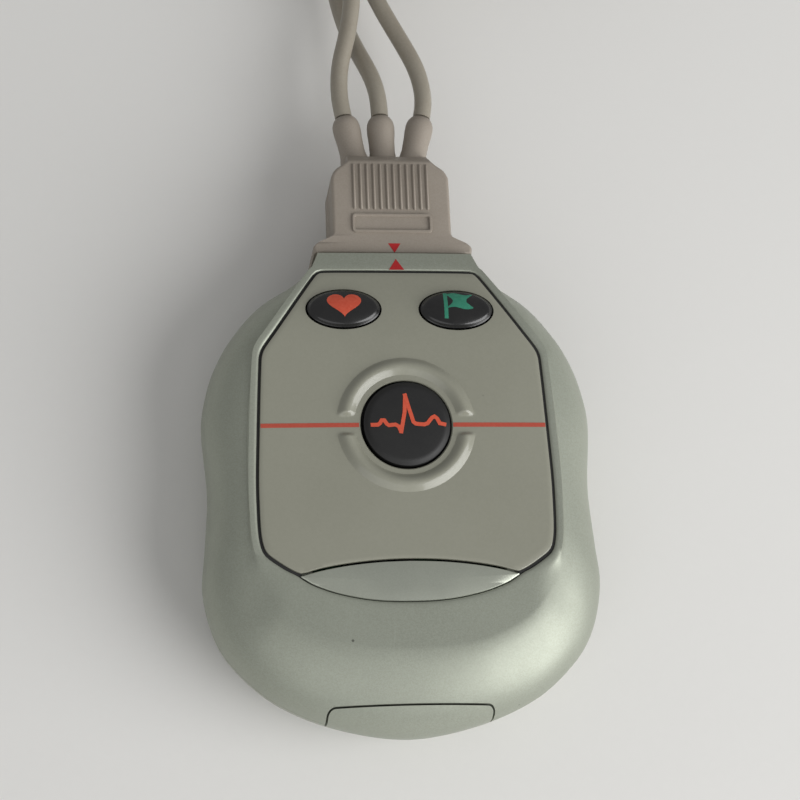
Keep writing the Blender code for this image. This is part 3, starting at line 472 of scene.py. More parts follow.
# edge: height and inset of the rounded rim; neckStart and neckBack: distances from the neck's two ends
snap = {"radius": 0.0062, "height": 0.005, "rest": 0.00005, "reach": 0.0138, "recess": 0.0043,
        "recessDepth": 0.0016, "recessEdge": (0.0001, 0.0002),
        "edge": ((0, 0.0009), (0.0001, 0.0005), (0.0004, 0.0001), (0.0009, 0)),
        "neckStart": (0.0003, 0.0008), "neckBack": (0.005, 0.0037),
        "neckRadii": (0.0018, 0.002, 0.00205, 0.00215, 0.0023, 0.0024), "steps": 48, "neckSteps": 28}


def reliefAxis(side):
    across, reach = lead["roots"][side]
    start = Vector((across, lead["plugEnd"], lead["plugHeight"]))
    end = start + Vector((*reach, 0))
    return start, end, (end - start).normalized()


# two layers: in along the lower one, up in the half turn at the middle, out along the upper one
def coilPoints(side):
    pitch, turns = lead["coilPitch"], lead["layerTurns"]
    floor = lead["coilFloor"] + 2 * lead["layer"][side] * pitch
    total = 2 * turns + 0.5 + lead["extraTurns"][side]
    count = round(total * lead["pointsPerTurn"])
    points = []
    for i in range(count + 1):
        turn = total * i / count
        if turn <= turns:
            inward, climb = turn, 0
        elif turn < turns + 0.5:
            t = turn - turns
            inward = turns + t - 2 * t ** 2
            climb = (2 * t) ** 2 * (3 - 4 * t)
        else:
            inward, climb = 2 * turns + 0.5 - turn, 1
        radius = lead["coilOuter"][side] - pitch * inward
        angle = math.pi - math.tau * turn
        points.append(Vector((lead["coilCentre"][0] + radius * math.cos(angle),
                              lead["coilCentre"][1] + radius * math.sin(angle), floor + pitch * climb)))
    return points


def snapHeight(side):
    if side == "left":
        top = lead["coilFloor"] + (2 * lead["layer"][side] + 1) * lead["coilPitch"] + lead["diameter"] / 2
        return top + lead["gap"] + snap["height"] / 2
    return snap["rest"] + snap["height"] / 2


# rounds off the turns of a path whose two ends are held
def eased(points, rounds):
    for _ in range(rounds):
        between = [(a + 2 * b + c) / 4 for a, b, c in zip(points, points[1:], points[2:])]
        points = [points[0], *between, points[-1]]
    return points


def leadRoute(side):
    coil = coilPoints(side)
    straight = Vector((0, lead["diameter"], 0))
    _, mouth, along = reliefAxis(side)
    start = mouth + along * lead["gap"]
    entry = coil[0] - straight
    route = [start, start + along * lead["diameter"], *(Vector(p) for p in lead["runs"][side]),
             entry - straight, entry]
    curve = curveThrough([tuple(p) for p in route], lead["runSteps"])
    run = eased(evenly(curve, lead["runPoints"]), lead["easing"])
    where, heading = lead["tailEnds"][side]
    centre = Vector((*lead["coilCentre"], 0))
    toward = Vector((*heading, 0))
    end = Vector((centre.x + where[0], centre.y + where[1], snapHeight(side)))
    tailRoute = [coil[-1], *(centre + Vector(p) for p in lead["tails"][side]),
                 end - toward * lead["diameter"], end]
    steps = lead["tailSteps"]
    tail = curveThrough([tuple(coil[-2]), *(tuple(p) for p in tailRoute)], steps)[steps + 1:]
    return run + coil + [Vector(p) for p in tail], end, toward


def makeLead(side):
    points, end, toward = leadRoute(side)
    curve = bpy.data.curves.new(f"lead_{side}", "CURVE")
    curve.dimensions = "3D"
    curve.bevel_depth = lead["diameter"] / 2
    curve.bevel_resolution = 5
    curve.use_fill_caps = True
    line = curve.splines.new("POLY")
    line.points.add(len(points) - 1)
    for knot, point in zip(line.points, points):
        knot.co = (*point, 1)
    line.use_smooth = True
    piece = bpy.data.objects.new(f"lead_{side}", curve)
    bpy.context.scene.collection.objects.link(piece)
    dressed(piece, leadVinyl, "patient_cable", [f"lead_{side}_run", f"lead_{side}_coil"])
    return piece, end, toward


# a profile of (distance, radius) swept round an axis
def turnedAlong(name, start, along, profile, steps=36):
    side = along.cross(Vector((0, 0, 1)))
    side = side.normalized() if side.length > 0.01 else Vector((1, 0, 0))
    other = along.cross(side)
    rings = []
    for distance, radius in profile:
        rings.append([start + along * distance + (side * math.cos(math.tau * i / steps)
                      + other * math.sin(math.tau * i / steps)) * radius for i in range(steps)])
    return ringStack(name, rings)


def rod(name, start, along, radius, length, steps):
    return turnedAlong(name, Vector(start), Vector(along), [(0, radius), (length, radius)], steps)


def makeSnap(side, end, toward):
    middle = end + toward * snap["reach"]
    r, h = snap["radius"], snap["height"]
    drop, ease = snap["recessEdge"]
    profile = [(d, r - inset) for d, inset in snap["edge"]]
    profile += [(h - d, r - inset) for d, inset in reversed(snap["edge"])]
    profile += [(h, snap["recess"] + ease), (h - drop, snap["recess"]),
                (h - snap["recessDepth"], snap["recess"])]
    foot = Vector((middle.x, middle.y, middle.z - h / 2))
    housing = turnedAlong(f"snapCase_{side}", foot, Vector((0, 0, 1)), profile, snap["steps"])
    root = end + toward * lead["gap"]
    reach = (middle - root).length
    ways = (0, *snap["neckStart"], reach / 2, *(reach - back for back in snap["neckBack"]))
    neck = turnedAlong("neck", root, toward, list(zip(ways, snap["neckRadii"])), snap["neckSteps"])
    combine(housing, neck, "UNION")
    return dressed(smoothed(housing, 40), plugPlastic, "patient_cable", [f"snap_{side}"])


relief = {"profile": [(-0.0018, 0.0012), (-0.0017, 0.0026), (-0.0009, 0.00255), (0.0001, 0.0024),
                      (0.0009, 0.0022), (0.0018, 0.0021), (0.0036, 0.00214), (0.0052, 0.00228),
                      (0.0063, 0.0023), (0.0069, 0.00222), (0.0074, 0.00203), (0.0078, 0.00178),
                      (0.0080, 0.00158)]}


def makeRelief(side):
    start, end, along = reliefAxis(side)
    stretch = (end - start).length / relief["profile"][-1][0]
    profile = [(d * stretch, r) for d, r in relief["profile"]]
    piece = smoothed(turnedAlong(f"relief_{side}", start, along, profile), 50)
    return dressed(piece, plugPlastic, "patient_cable", [f"strain_relief_{side}"])


def makeCords():
    for side in ("left", "middle", "right"):
        piece, end, toward = makeLead(side)
        case = makeSnap(side, end, toward)
        sleeve = makeRelief(side)
        print("lead made:", side, sleeve.name)


makeCords()


# the strap round the three coils

strap = {"thickness": 0.0005, "width": 0.0045, "clearance": 0.00035, "angle": math.radians(-45),
         "slack": 0.15, "topLayers": 5, "corner": 0.0016, "cornerSteps": 6}


def makeStrap():
    room, corner = lead["diameter"] / 2 + strap["clearance"], strap["corner"]
    outer = max(lead["coilOuter"].values()) + room
    inner = (min(lead["coilOuter"].values()) - lead["coilPitch"] * (lead["layerTurns"] + strap["slack"])
             - room)
    low = (inner + corner, lead["coilFloor"] - room + corner)
    high = (outer - corner, lead["coilFloor"] + strap["topLayers"] * lead["coilPitch"] + room - corner)
    inside, outside = (roundedLoop(low, high, radius, strap["cornerSteps"])
                       for radius in (corner, corner + strap["thickness"]))
    rings = []
    for loop, across in ((inside, -0.5), (inside, 0.5), (outside, 0.5), (outside, -0.5), (inside, -0.5)):
        rings.append([(x, across * strap["width"], z) for x, z in loop])
    piece = ringStack("cordStrap", rings, joinEnds=True)
    turn = Matrix.Translation((*lead["coilCentre"], 0)) @ Matrix.Rotation(strap["angle"], 4, "Z")
    piece.data.transform(turn)
    dressed(smoothed(piece, 40), darkPlastic, "patient_cable", ["cable_tie"])


makeStrap()
print("strap made")


# housing: two painted shells

# outlines: right halves as shares of the half width and half length; rim: outward and down at the window
body = {
    "halfLength": 0.038, "halfWidth": 0.0309, "faceHeight": 0.0206, "girthHeight": 0.011, "wall": 0.0018,
    "gap": 0.0003, "crossDrop": 0.0006, "neckSlope": 0.605, "neckDrop": 0.0023, "neckBend": 1.6,
    "chinSlope": 0.474, "chinDrop": 0.0005, "sweep": math.radians(66), "flankSteps": 10,
    "centre": (0, 0.006), "directions": 240, "stripDrop": 0.0005, "stripBand": (0.019, 0.0225),
    "stripShares": (0.12, 0.45, 0.75), "seamRise": 0.0002, "seamDraw": 0.00015, "onMiddle": 0.00015,
    "rim": ((0.0012, 0), (0.0005, 0), (0.0002, 0.00006), (0.00004, 0.0002), (0, 0.0004), (0, 0.00105),
            (-0.0019, 0.00105), (-0.0019, 0.0018)),
    "girth": [
        (0, -1), (0.34, -0.955), (0.625, -0.861), (0.816, -0.737), (0.939, -0.597), (1, -0.405),
        (0.987, -0.226), (0.971, 0.008), (0.997, 0.276), (0.974, 0.424), (0.926, 0.547), (0.838, 0.676),
        (0.696, 0.808), (0.537, 0.884), (0.43, 0.942), (0.411, 1)],
    "ridge": [
        (0, -0.695), (0.307, -0.674), (0.534, -0.595), (0.673, -0.489), (0.744, -0.379), (0.776, -0.25),
        (0.784, -0.118), (0.785, 0.053), (0.779, 0.25), (0.766, 0.395), (0.748, 0.5), (0.738, 0.535),
        (0.715, 0.572), (0.652, 0.65), (0.543, 0.783), (0.46, 0.889), (0.438, 0.921), (0.414, 0.965),
        (0.4, 1)],
    "back": [
        (0, -0.816), (0.291, -0.789), (0.505, -0.716), (0.641, -0.616), (0.718, -0.489), (0.757, -0.332),
        (0.751, -0.174), (0.744, 0.016), (0.757, 0.242), (0.744, 0.368), (0.699, 0.484), (0.621, 0.595),
        (0.505, 0.7), (0.388, 0.768), (0.33, 0.811), (0.304, 0.842)],
    "plate": [
        (0, -0.323), (0.15, -0.327), (0.3, -0.339), (0.43, -0.357), (0.518, -0.376), (0.545, -0.3755),
        (0.6, -0.352), (0.675, -0.309), (0.7, -0.288), (0.714, -0.258), (0.724, -0.2), (0.728, -0.09),
        (0.728, 0.02), (0.72, 0.2), (0.712, 0.36), (0.704, 0.49), (0.699, 0.528), (0.682, 0.562),
        (0.62, 0.636), (0.52, 0.759), (0.424, 0.877), (0.404, 0.896), (0.37, 0.903), (0.18, 0.904),
        (0, 0.904)],
    "badge": [
        (0, -0.496), (0.18, -0.489), (0.34, -0.464), (0.46, -0.43), (0.52, -0.402), (0.536, -0.392),
        (0.524, -0.388), (0.43, -0.368), (0.3, -0.35), (0.15, -0.338), (0, -0.334)],
    "window": [
        (0, -0.499), (0.18, -0.492), (0.342, -0.467), (0.463, -0.433), (0.525, -0.404), (0.556, -0.386),
        (0.612, -0.362), (0.687, -0.319), (0.714, -0.294), (0.728, -0.262), (0.738, -0.201),
        (0.742, -0.09), (0.742, 0.02), (0.734, 0.201), (0.726, 0.361), (0.718, 0.492), (0.713, 0.533),
        (0.694, 0.57), (0.631, 0.645), (0.531, 0.768), (0.435, 0.886), (0.411, 0.907), (0.372, 0.915),
        (0.18, 0.916), (0, 0.916)],
}
bodyRays = raysOf(body["directions"])


def wholeOutline(shares, steps=6):
    path = [(x * body["halfWidth"], y * body["halfLength"]) for x, y in shares]
    path.insert(0, (-path[1][0], path[1][1]))
    right = curveThrough(path, steps)[steps:]
    return right + [(-x, y) for x, y in reversed(right) if x > body["onMiddle"]]


def bodyReach(name):
    return reachOf(wholeOutline(body[name]), body["centre"], bodyRays)


def bodyRing(reach, height):
    return ringFrom(body["centre"], bodyRays, reach, height)


def faceZ(x, y):
    neck = max(0, (y / body["halfLength"] - body["neckSlope"]) / (1 - body["neckSlope"]))
    chin = max(0, (-y / body["halfLength"] - body["chinSlope"]) / (1 - body["chinSlope"]))
    return (body["faceHeight"] - body["crossDrop"] * (x / body["halfWidth"]) ** 2
            - body["neckDrop"] * neck ** body["neckBend"] - body["chinDrop"] * chin ** 2)


# the face's surface, raised or sunk
def faceAt(rise):
    return lambda x, y: faceZ(x, y) + rise


def ridgeZ(x, y, share=0):
    return faceZ(x, y) - body["stripDrop"] * smoothStep(abs(x), *body["stripBand"]) * (1 - share)


def rearRings(girth, back, inset=0):
    rings = []
    for degrees in range(90, -1, -10):
        a = math.radians(degrees)
        reach = [g + (b - g) * (1 - math.cos(a)) - inset * math.cos(a) for g, b in zip(girth, back)]
        rings.append(bodyRing(reach, body["girthHeight"] * (1 - math.sin(a)) + inset * math.sin(a)))
    return rings


def flankRings(girth, ridge, inset=0):
    sweep, seam, (cx, cy) = body["sweep"], body["girthHeight"], body["centre"]
    rings = []
    for step in range(body["flankSteps"] + 1):
        a = sweep * step / body["flankSteps"]
        share = (1 - math.cos(a)) / (1 - math.cos(sweep))
        rise = math.sin(a) / math.sin(sweep)
        ring = []
        for angle, g, r in zip(bodyRays, girth, ridge):
            across, ahead = math.cos(angle), math.sin(angle)
            top = ridgeZ(cx + r * across, cy + r * ahead)
            reach = g + (r - g) * share - inset * math.cos(a)
            height = seam + (top - seam) * rise - inset * math.sin(a)
            ring.append((cx + reach * across, cy + reach * ahead, height))
        rings.append(ring)
    return rings


def atSeam(ring, height, inward=0):
    result = []
    for x, y, _ in ring:
        dx, dy = x - body["centre"][0], y - body["centre"][1]
        size = math.hypot(dx, dy)
        result.append((x - dx / size * inward, y - dy / size * inward, height))
    return result


# past, under, over and the cut values: how far the cutting pieces reach beyond the case
door = {"halfWidth": 0.0125, "top": 0.0185, "roof": 0.0118, "front": -0.034, "corner": 0.001,
        "tongue": 0.0014, "tongueThickness": 0.0008, "lip": 0.0006, "endWall": 0.0011, "grips": 5,
        "gripPitch": 0.0022, "gripDepth": 0.0007, "gripBelow": 0.00013, "gripHalf": 0.007, "gripY": -0.019,
        "end": 0.0212, "start": -0.0281, "mouthLow": 0.005, "sliver": 0.0004, "past": -0.045,
        "under": -0.002, "over": 0.021, "cutLength": 0.02, "cutHalf": 0.03, "cutEnd": 0.04,
        "cutTop": 0.0205, "cornerSteps": 64, "gripSteps": 20}
screws = {"places": [(-0.019, -0.0205), (0.019, -0.0205), (-0.019, 0.0188), (0.019, 0.0188)],
          "headHole": 0.0023, "from": -0.001, "depth": 0.0032, "steps": 32}
sound = {"y": 0.0265, "circle": 0.0022, "radius": 0.0006, "count": 5, "depth": 0.004, "steps": 16}
neckMouth = {"halfWidth": 0.0093, "depths": (0.034, 0.04), "heights": (0.0066, 0.014)}


def makeShells():
    girth, ridge, back, window = (bodyReach(name) for name in ("girth", "ridge", "back", "window"))
    rearOuter, rearInner = (rearRings(girth, back, inset) for inset in (0, body["wall"]))
    frontOuter, frontInner = (flankRings(girth, ridge, inset) for inset in (0, body["wall"]))

    low = body["girthHeight"] - body["gap"] / 2
    rearEdge = [atSeam(rearOuter[-1], low - body["seamRise"]), atSeam(rearOuter[-1], low, body["seamDraw"]),
                atSeam(rearInner[-1], low)]
    rear = ringStack("rearShell", rearOuter[:-1] + rearEdge + rearInner[-2::-1])

    high = body["girthHeight"] + body["gap"] / 2
    rim = [bodyRing([r + outward for r in window], faceAt(-down)) for outward, down in body["rim"]]
    shelf = [w + body["rim"][0][0] for w in window]
    strip = [bodyRing(mixed(ridge, shelf, share), lambda x, y: ridgeZ(x, y, share))
             for share in body["stripShares"]]
    start = [atSeam(frontInner[0], high), atSeam(frontOuter[0], high, body["seamDraw"]),
             atSeam(frontOuter[0], high + body["seamRise"])]
    front = ringStack("frontShell", start + frontOuter[1:] + strip + rim + frontInner[:0:-1] + [start[0]],
                      joinEnds=True)
    skin = ringStack("doorSkin", rearOuter + frontOuter[1:] + frontInner[:0:-1] + rearInner[::-1])
    return rear, front, skin


# the sliver outside a rounded corner of the door's front edge
def doorCorner(sign, room):
    radius = door["corner"] + room
    x, y = sign * (door["halfWidth"] - door["corner"]), door["front"] - door["corner"]
    far = radius + door["sliver"]
    sliver = makeBox("sliver", (min(x, x + sign * far), y, door["roof"] + room),
                     (max(x, x + sign * far), y + far, door["over"]))
    foot = (x, y, door["mouthLow"])
    combine(sliver, rod("quarter", foot, (0, 0, 1), radius, door["cutLength"], door["cornerSteps"]))
    return sliver


def cutShells(rear, front, skin):
    gap, half, wide, past = body["gap"], door["halfWidth"], door["halfWidth"] + door["tongue"], door["past"]
    thick, tongueEnd = door["tongueThickness"], door["end"] - door["endWall"]
    corners = [doorCorner(sign, gap) for sign in (-1, 1)]
    opening = middleBox("opening", half + gap, (past, door["end"] + gap),
                        (door["under"], door["roof"] + gap))
    endOpening = middleBox("endOpening", half + gap, (past, door["front"] + gap),
                           (door["mouthLow"], door["top"] + gap))
    rebate = middleBox("rebate", wide + gap, (past, tongueEnd + gap),
                       (door["lip"], door["lip"] + 2 * gap + thick))
    for corner in corners:
        combine(endOpening, corner)
    combine(front, opening, keepTool=True)
    combine(front, endOpening)
    combine(rear, opening)
    combine(rear, rebate)
    mouth = middleBox("mouth", neckMouth["halfWidth"], neckMouth["depths"], neckMouth["heights"])
    combine(front, mouth, keepTool=True)
    combine(rear, mouth)
    for x, y in screws["places"]:
        foot = (x, y, screws["from"])
        combine(rear, rod("well", foot, (0, 0, 1), screws["headHole"], screws["depth"], screws["steps"]))
    for i in range(sound["count"]):
        angle = math.tau * i / sound["count"]
        foot = (sound["circle"] * math.cos(angle), sound["y"] + sound["circle"] * math.sin(angle),
                screws["from"])
        combine(rear, rod("hole", foot, (0, 0, 1), sound["radius"], sound["depth"], sound["steps"]))
    combine(skin, middleBox("slot", half, (past, door["end"]), (door["under"], door["top"])), "INTERSECT")
    frontEdge = middleBox("frontEdge", door["cutHalf"], (door["front"], door["cutEnd"]),
                          (door["roof"], door["cutTop"]))
    combine(skin, frontEdge)
    for sign in (-1, 1):
        combine(skin, doorCorner(sign, 0))
    tongueLow = door["lip"] + gap
    tongue = middleBox("tongue", wide, (door["start"], tongueEnd), (tongueLow, tongueLow + thick))
    combine(skin, tongue, "UNION")
    grooves = []
    for i in range(door["grips"]):
        start = (-door["gripHalf"], door["gripY"] + door["gripPitch"] * i, -door["gripBelow"])
        grooves.append(rod("groove", start, (1, 0, 0), door["gripDepth"], 2 * door["gripHalf"],
                           door["gripSteps"]))
    combine(skin, joined("grooves", grooves))


rearShell, frontShell, doorSkin = makeShells()
cutShells(rearShell, frontShell, doorSkin)
doorSkin.name = doorSkin.data.name = "doorCover"
for shell, node, carrier in ((rearShell, "rear_shell", "housing"), (frontShell, "front_shell", "housing"),
                             (doorSkin, "battery_door", "battery_door")):
    dressed(smoothed(shell, 34), silverPaint, carrier, [node])
print("shells made")


# face plate with its moulded ring, and the badge plate

# rounding: shares of the edge by which the plate's rim draws in and sinks
plate = {"thickness": 0.0007, "centre": (0.0003, 0.0088), "hole": 0.0071, "ringRadius": 0.0094,
         "ringHalf": 0.0014, "ringHeight": 0.00075, "ringSteps": 16, "swell": 1.15,
         "split": (0.0012, 0.002), "spread": (0.03, 0.2, 0.4, 0.6, 0.8, 0.94), "edge": 0.00016,
         "rounding": ((1, 0), (0.3, 0.3), (0, 1)), "holeReach": (-0.002, 0.002), "holeSteps": 64,
         "directions": 360}


def plateZ(x, y):
    dx, dy = x - plate["centre"][0], y - plate["centre"][1]
    away = abs(math.hypot(dx, dy) - plate["ringRadius"]) / plate["ringHalf"]
    swell = math.cos(min(1, away) * math.pi / 2) ** plate["swell"]
    return faceZ(x, y) + plate["ringHeight"] * swell * smoothStep(abs(dy), *plate["split"])


def makeFacePlate():
    rays = raysOf(plate["directions"])
    outline = reachOf(wholeOutline(body["plate"]), plate["centre"], rays)
    hole, edge, steps = plate["hole"], plate["edge"], plate["ringSteps"]
    first, width = plate["ringRadius"] - plate["ringHalf"], 2 * plate["ringHalf"]

    def ringOf(reach, rule):
        return ringFrom(plate["centre"], rays, reach, rule)

    def circle(radius, rule):
        return ringOf([radius] * len(rays), rule)

    under = faceAt(-plate["thickness"])
    rings = [circle(hole, under), circle(hole, faceAt(-edge)), circle(hole + edge, faceZ)]
    rings += [circle(first + width * step / steps, plateZ) for step in range(steps + 1)]
    last = [first + width] * len(rays)
    rings += [ringOf(mixed(last, outline, share), faceZ) for share in plate["spread"]]
    rings += [ringOf([r - edge * draw for r in outline], faceAt(-edge * sink))
              for draw, sink in plate["rounding"]]
    rings += [ringOf(outline, under), rings[0]]
    piece = ringStack("facePlate", rings, joinEnds=True)
    for shape in (heartOval, markerOval):
        hole = [ovalRing(shape, faceAt(rise), body["gap"], steps=plate["holeSteps"])
                for rise in plate["holeReach"]]
        combine(piece, ringStack("hole", hole))
    dressed(smoothed(piece, 30), faceLacquer, "housing", ["faceplate"])


def ovalRing(shape, rule, growth=0, share=1, steps=96):
    ring = []
    for i in range(steps):
        turn = math.tau * i / steps
        x = shape["x"] + (shape["half"][0] + growth) * share * math.cos(turn)
        y = shape["y"] + (shape["half"][1] + growth) * share * math.sin(turn)
        ring.append((x, y, rule(x, y)))
    return ring


heartOval = {"half": (0.0057, 0.0032), "x": -0.0087, "y": 0.0278}
markerOval = {"half": (0.0057, 0.0032), "x": 0.0091, "y": 0.0277}
eventDisc = {"half": (0.0067, 0.0067), "x": 0.0004, "y": 0.0088, "dome": 0.0002, "finish": discBlack}
cap = {"rise": 0.0006, "dome": 0.0008, "edge": 0.0004, "crown": 2.2, "turnIn": 0.86, "turnBend": 1.5,
       "flange": 0.0007, "flangeTop": 0.0021, "flangeBottom": 0.0027,
       "shares": (1, 0.985, 0.96, 0.93, 0.89, 0.84, 0.76, 0.66, 0.54, 0.4, 0.26, 0.12)}


# height of a button's domed top over the face, by the share of the way out from its middle
def domeRise(shape, share):
    crown = shape.get("dome", cap["dome"]) * (1 - min(1, share) ** cap["crown"])
    return cap["rise"] + crown - cap["edge"] * smoothStep(share, cap["turnIn"], 1) ** cap["turnBend"]


def makeButton(name, shape, node):
    wide = [half + cap["flange"] for half in shape["half"]]
    lowest = min(faceZ(shape["x"] + a * wide[0], shape["y"] + b * wide[1])
                 for a in (-1, 1) for b in (-1, 1))

    def level(depth):
        return lambda x, y: lowest - depth

    rings = [ovalRing(shape, level(cap["flangeBottom"]), cap["flange"]),
             ovalRing(shape, level(cap["flangeTop"]), cap["flange"]),
             ovalRing(shape, level(cap["flangeTop"])), ovalRing(shape, faceZ)]
    rings += [ovalRing(shape, faceAt(domeRise(shape, share)), share=share) for share in cap["shares"]]
    piece = smoothed(ringStack(name, rings), 40)
    dressed(piece, shape.get("finish", buttonBlack), node, [node])


# the surface of a button's domed top
def topOf(shape):
    def top(x, y):
        share = math.hypot((x - shape["x"]) / shape["half"][0], (y - shape["y"]) / shape["half"][1])
        return faceZ(x, y) + domeRise(shape, share)

    return top


# a dark sheet down in the groove round the face plate and badge: painted shadow, standing in for the shade
# in that gap; gap: its clearance from the edges on each side, low and high: its depths under the face
shadowSheet = {"gap": 0.00003, "low": -0.00085, "high": -0.0004}


def makeShadowSheet():
    gap, low, high = shadowSheet["gap"], shadowSheet["low"], shadowSheet["high"]
    inner = [max(a, b) + gap for a, b in zip(bodyReach("plate"), bodyReach("badge"))]
    outer = [max(w - gap, i + gap) for w, i in zip(bodyReach("window"), inner)]
    rings = [bodyRing(reach, faceAt(rise))
             for reach, rise in ((inner, low), (inner, high), (outer, high), (outer, low), (inner, low))]
    piece = ringStack("plateShadowSheet", rings, joinEnds=True)
    dressed(smoothed(piece), sealRubberAndGrooveShade, "housing")


# levels: share of the outline and height over the face
badge = {"middle": (0, -0.0160), "steps": 8,
         "levels": ((1, -0.0001), (0.993, -0.00002), (0.98, 0.00004), (0.8, 0.00014), (0.55, 0.00022),
                    (0.3, 0.00026))}


def makeBadge():
    outline = wholeOutline(body["badge"], badge["steps"])
    piece = ringStack("badgeLens", [shrunk(outline, badge["middle"], share, faceZ, rise)
                                    for share, rise in ((1, -plate["thickness"]), *badge["levels"])])
    dressed(smoothed(piece, 30), badgeSteel, "housing", ["badge_plate"])


makeFacePlate()
makeShadowSheet()
makeBadge()
makeButton("eventCap", eventDisc, "event_button")
makeButton("heartCap", heartOval, "heart_button")
makeButton("markerCap", markerOval, "marker_button")
print("face and buttons made")


# printed marks: stripe, trace, heart, flag and arrows

printed = {"thick": 0.00004, "sink": 0.00006, "stripeHalf": 0.00034, "stripeY": 0.0087, "stripeSteps": 24,
           "stripes": (("stripeLeft", -0.0221, -0.007), ("stripeRight", 0.0076, 0.0221)),
           "traceHalf": 0.0003, "traceDrop": 0.0003, "traceStep": 0.0006, "traceLift": 0.000008,
           "mitre": 0.6, "arrowSteps": 6, "arrowShares": (1, 0.5), "plugTop": 0.017}
trace = [
    [(-0.0057, 0), (-0.0046, 0), (-0.0043, 0.0002), (-0.004, 0.0007), (-0.0036, 0.0007), (-0.0032, 0.0001),
     (-0.0029, -0.0001), (-0.0019, 0), (-0.0014, -0.0003), (-0.001, -0.0013)],
    [(-0.0011, -0.0014), (-0.0004, 0.002), (-0.0002, 0.0049)],
    [(-0.0003, 0.005), (0.0003, 0.0026), (0.0009, 0.0004), (0.0013, 0.0001), (0.0026, 0), (0.0031, 0.0002),
     (0.0038, 0.0011), (0.0042, 0.0013), (0.0046, 0.001), (0.005, 0.0002), (0.006, 0)]]
heart = {"points": 72, "across": 0.000168, "along": 0.000138, "up": 0.0005, "middle": 0.0006}
flag = {"pole": -0.0018, "foot": -0.0019, "height": 0.0045, "poleHalf": 0.0003, "poleSteps": 12,
        "start": 0.0002, "length": 0.0041, "width": 0.0026, "top": 0.0024, "wave": 0.0002, "steps": 16,
        "middle": (0.0004, 0.0011)}


# a flat mark: its outline shrunk toward a middle, laid on a surface
def makeMark(name, outline, middle, surface, shares=(1, 0.75, 0.5, 0.25)):
    levels = [(1, -printed["sink"])] + [(share, printed["thick"]) for share in shares]
    return ringStack(name, [shrunk(outline, middle, share, surface, rise) for share, rise in levels])


def ribbon(name, points, half, surface):
    rings = []
    for i, (x, y) in enumerate(points):
        here = Vector((x, y))
        into = (here - Vector(points[i - 1])).normalized() if i else None
        onward = (Vector(points[i + 1]) - here).normalized() if i + 1 < len(points) else into
        into = into or onward
        along = (into + onward).normalized()
        width = half / max(printed["mitre"], along.dot(onward))
        left = (x - along.y * width, y + along.x * width)
        right = (x + along.y * width, y - along.x * width)
        rings.append([(px, py, surface(px, py) + rise) for (px, py), rise in (
            (left, -printed["sink"]), (right, -printed["sink"]), (right, printed["thick"]),
            (left, printed["thick"]))])
    return ringStack(name, rings)


def makeStripes():
    y = printed["stripeY"]
    for name, start, end in printed["stripes"]:
        points = spaced((start, y), (end, y), printed["stripeSteps"]) + [(end, y)]
        piece = ribbon(name, points, printed["stripeHalf"], faceZ)
        dressed(smoothed(piece), stripeRed, "housing")


def makeTrace():
    top = topOf(eventDisc)
    strokes = []
    for stroke in trace:
        points = []
        for a, b in zip(stroke, stroke[1:]):
            points += spaced(a, b, max(1, round(math.dist(a, b) / printed["traceStep"])))
        placed = [(x + eventDisc["x"], y + eventDisc["y"] - printed["traceDrop"])
                  for x, y in points + [stroke[-1]]]
        lift = printed["traceLift"] * len(strokes)
        strokes.append(ribbon("stroke", placed, printed["traceHalf"], lambda x, y: top(x, y) + lift))
    piece = joined("heartTrace", strokes)
    dressed(smoothed(piece, 50), symbolRed, "event_button")


def makeHeart():
    outline = []
    for i in range(heart["points"]):
        t = math.tau * i / heart["points"]
        x = 16 * math.sin(t) ** 3
        y = 13 * math.cos(t) - 5 * math.cos(2 * t) - 2 * math.cos(3 * t) - math.cos(4 * t)
        outline.append((heartOval["x"] + x * heart["across"],
                        heartOval["y"] + heart["up"] + y * heart["along"]))
    middle = (heartOval["x"], heartOval["y"] + heart["middle"])
    piece = makeMark("heartSign", outline, middle, topOf(heartOval))
    dressed(smoothed(piece, 50), symbolRed, "heart_button")


def makeFlag():
    ox, oy = markerOval["x"], markerOval["y"]
    top, steps = topOf(markerOval), flag["steps"]
    poleX, footY = ox + flag["pole"], oy + flag["foot"]
    tip = (poleX, footY + flag["height"])
    staff = ribbon("staff", spaced((poleX, footY), tip, flag["poleSteps"]) + [tip], flag["poleHalf"], top)
    upper = [(poleX + flag["start"] + flag["length"] * k / steps,
              oy + flag["top"] + flag["wave"] * math.sin(k / steps * math.tau)) for k in range(steps + 1)]
    lower = [(x, y - flag["width"]) for x, y in reversed(upper)]
    cloth = makeMark("cloth", upper + lower, (ox + flag["middle"][0], oy + flag["middle"][1]), top)
    piece = joined("flagSign", [staff, cloth])
    dressed(smoothed(piece, 50), symbolGreen, "marker_button")


def makeArrow(name, corners, surface, carrier):
    outline = []
    for a, b in zip(corners, corners[1:] + corners[:1]):
        outline += spaced(a, b, printed["arrowSteps"])
    middle = tuple(sum(values) / 3 for values in zip(*corners))
    piece = makeMark(name, outline, middle, surface, printed["arrowShares"])
    dressed(smoothed(piece, 50), arrowRed, carrier)


makeStripes()
makeTrace()
makeHeart()
makeFlag()
makeArrow("arrowNeck", [(-0.0011, 0.0349), (0.0013, 0.0349), (0.0001, 0.0369)],
          faceZ, "housing")
makeArrow("arrowPlug", [(-0.0008, 0.0402), (0.0012, 0.0402), (0.0002, 0.0386)],
          lambda x, y: printed["plugTop"], "patient_cable")
print("marks made")


# cable plug

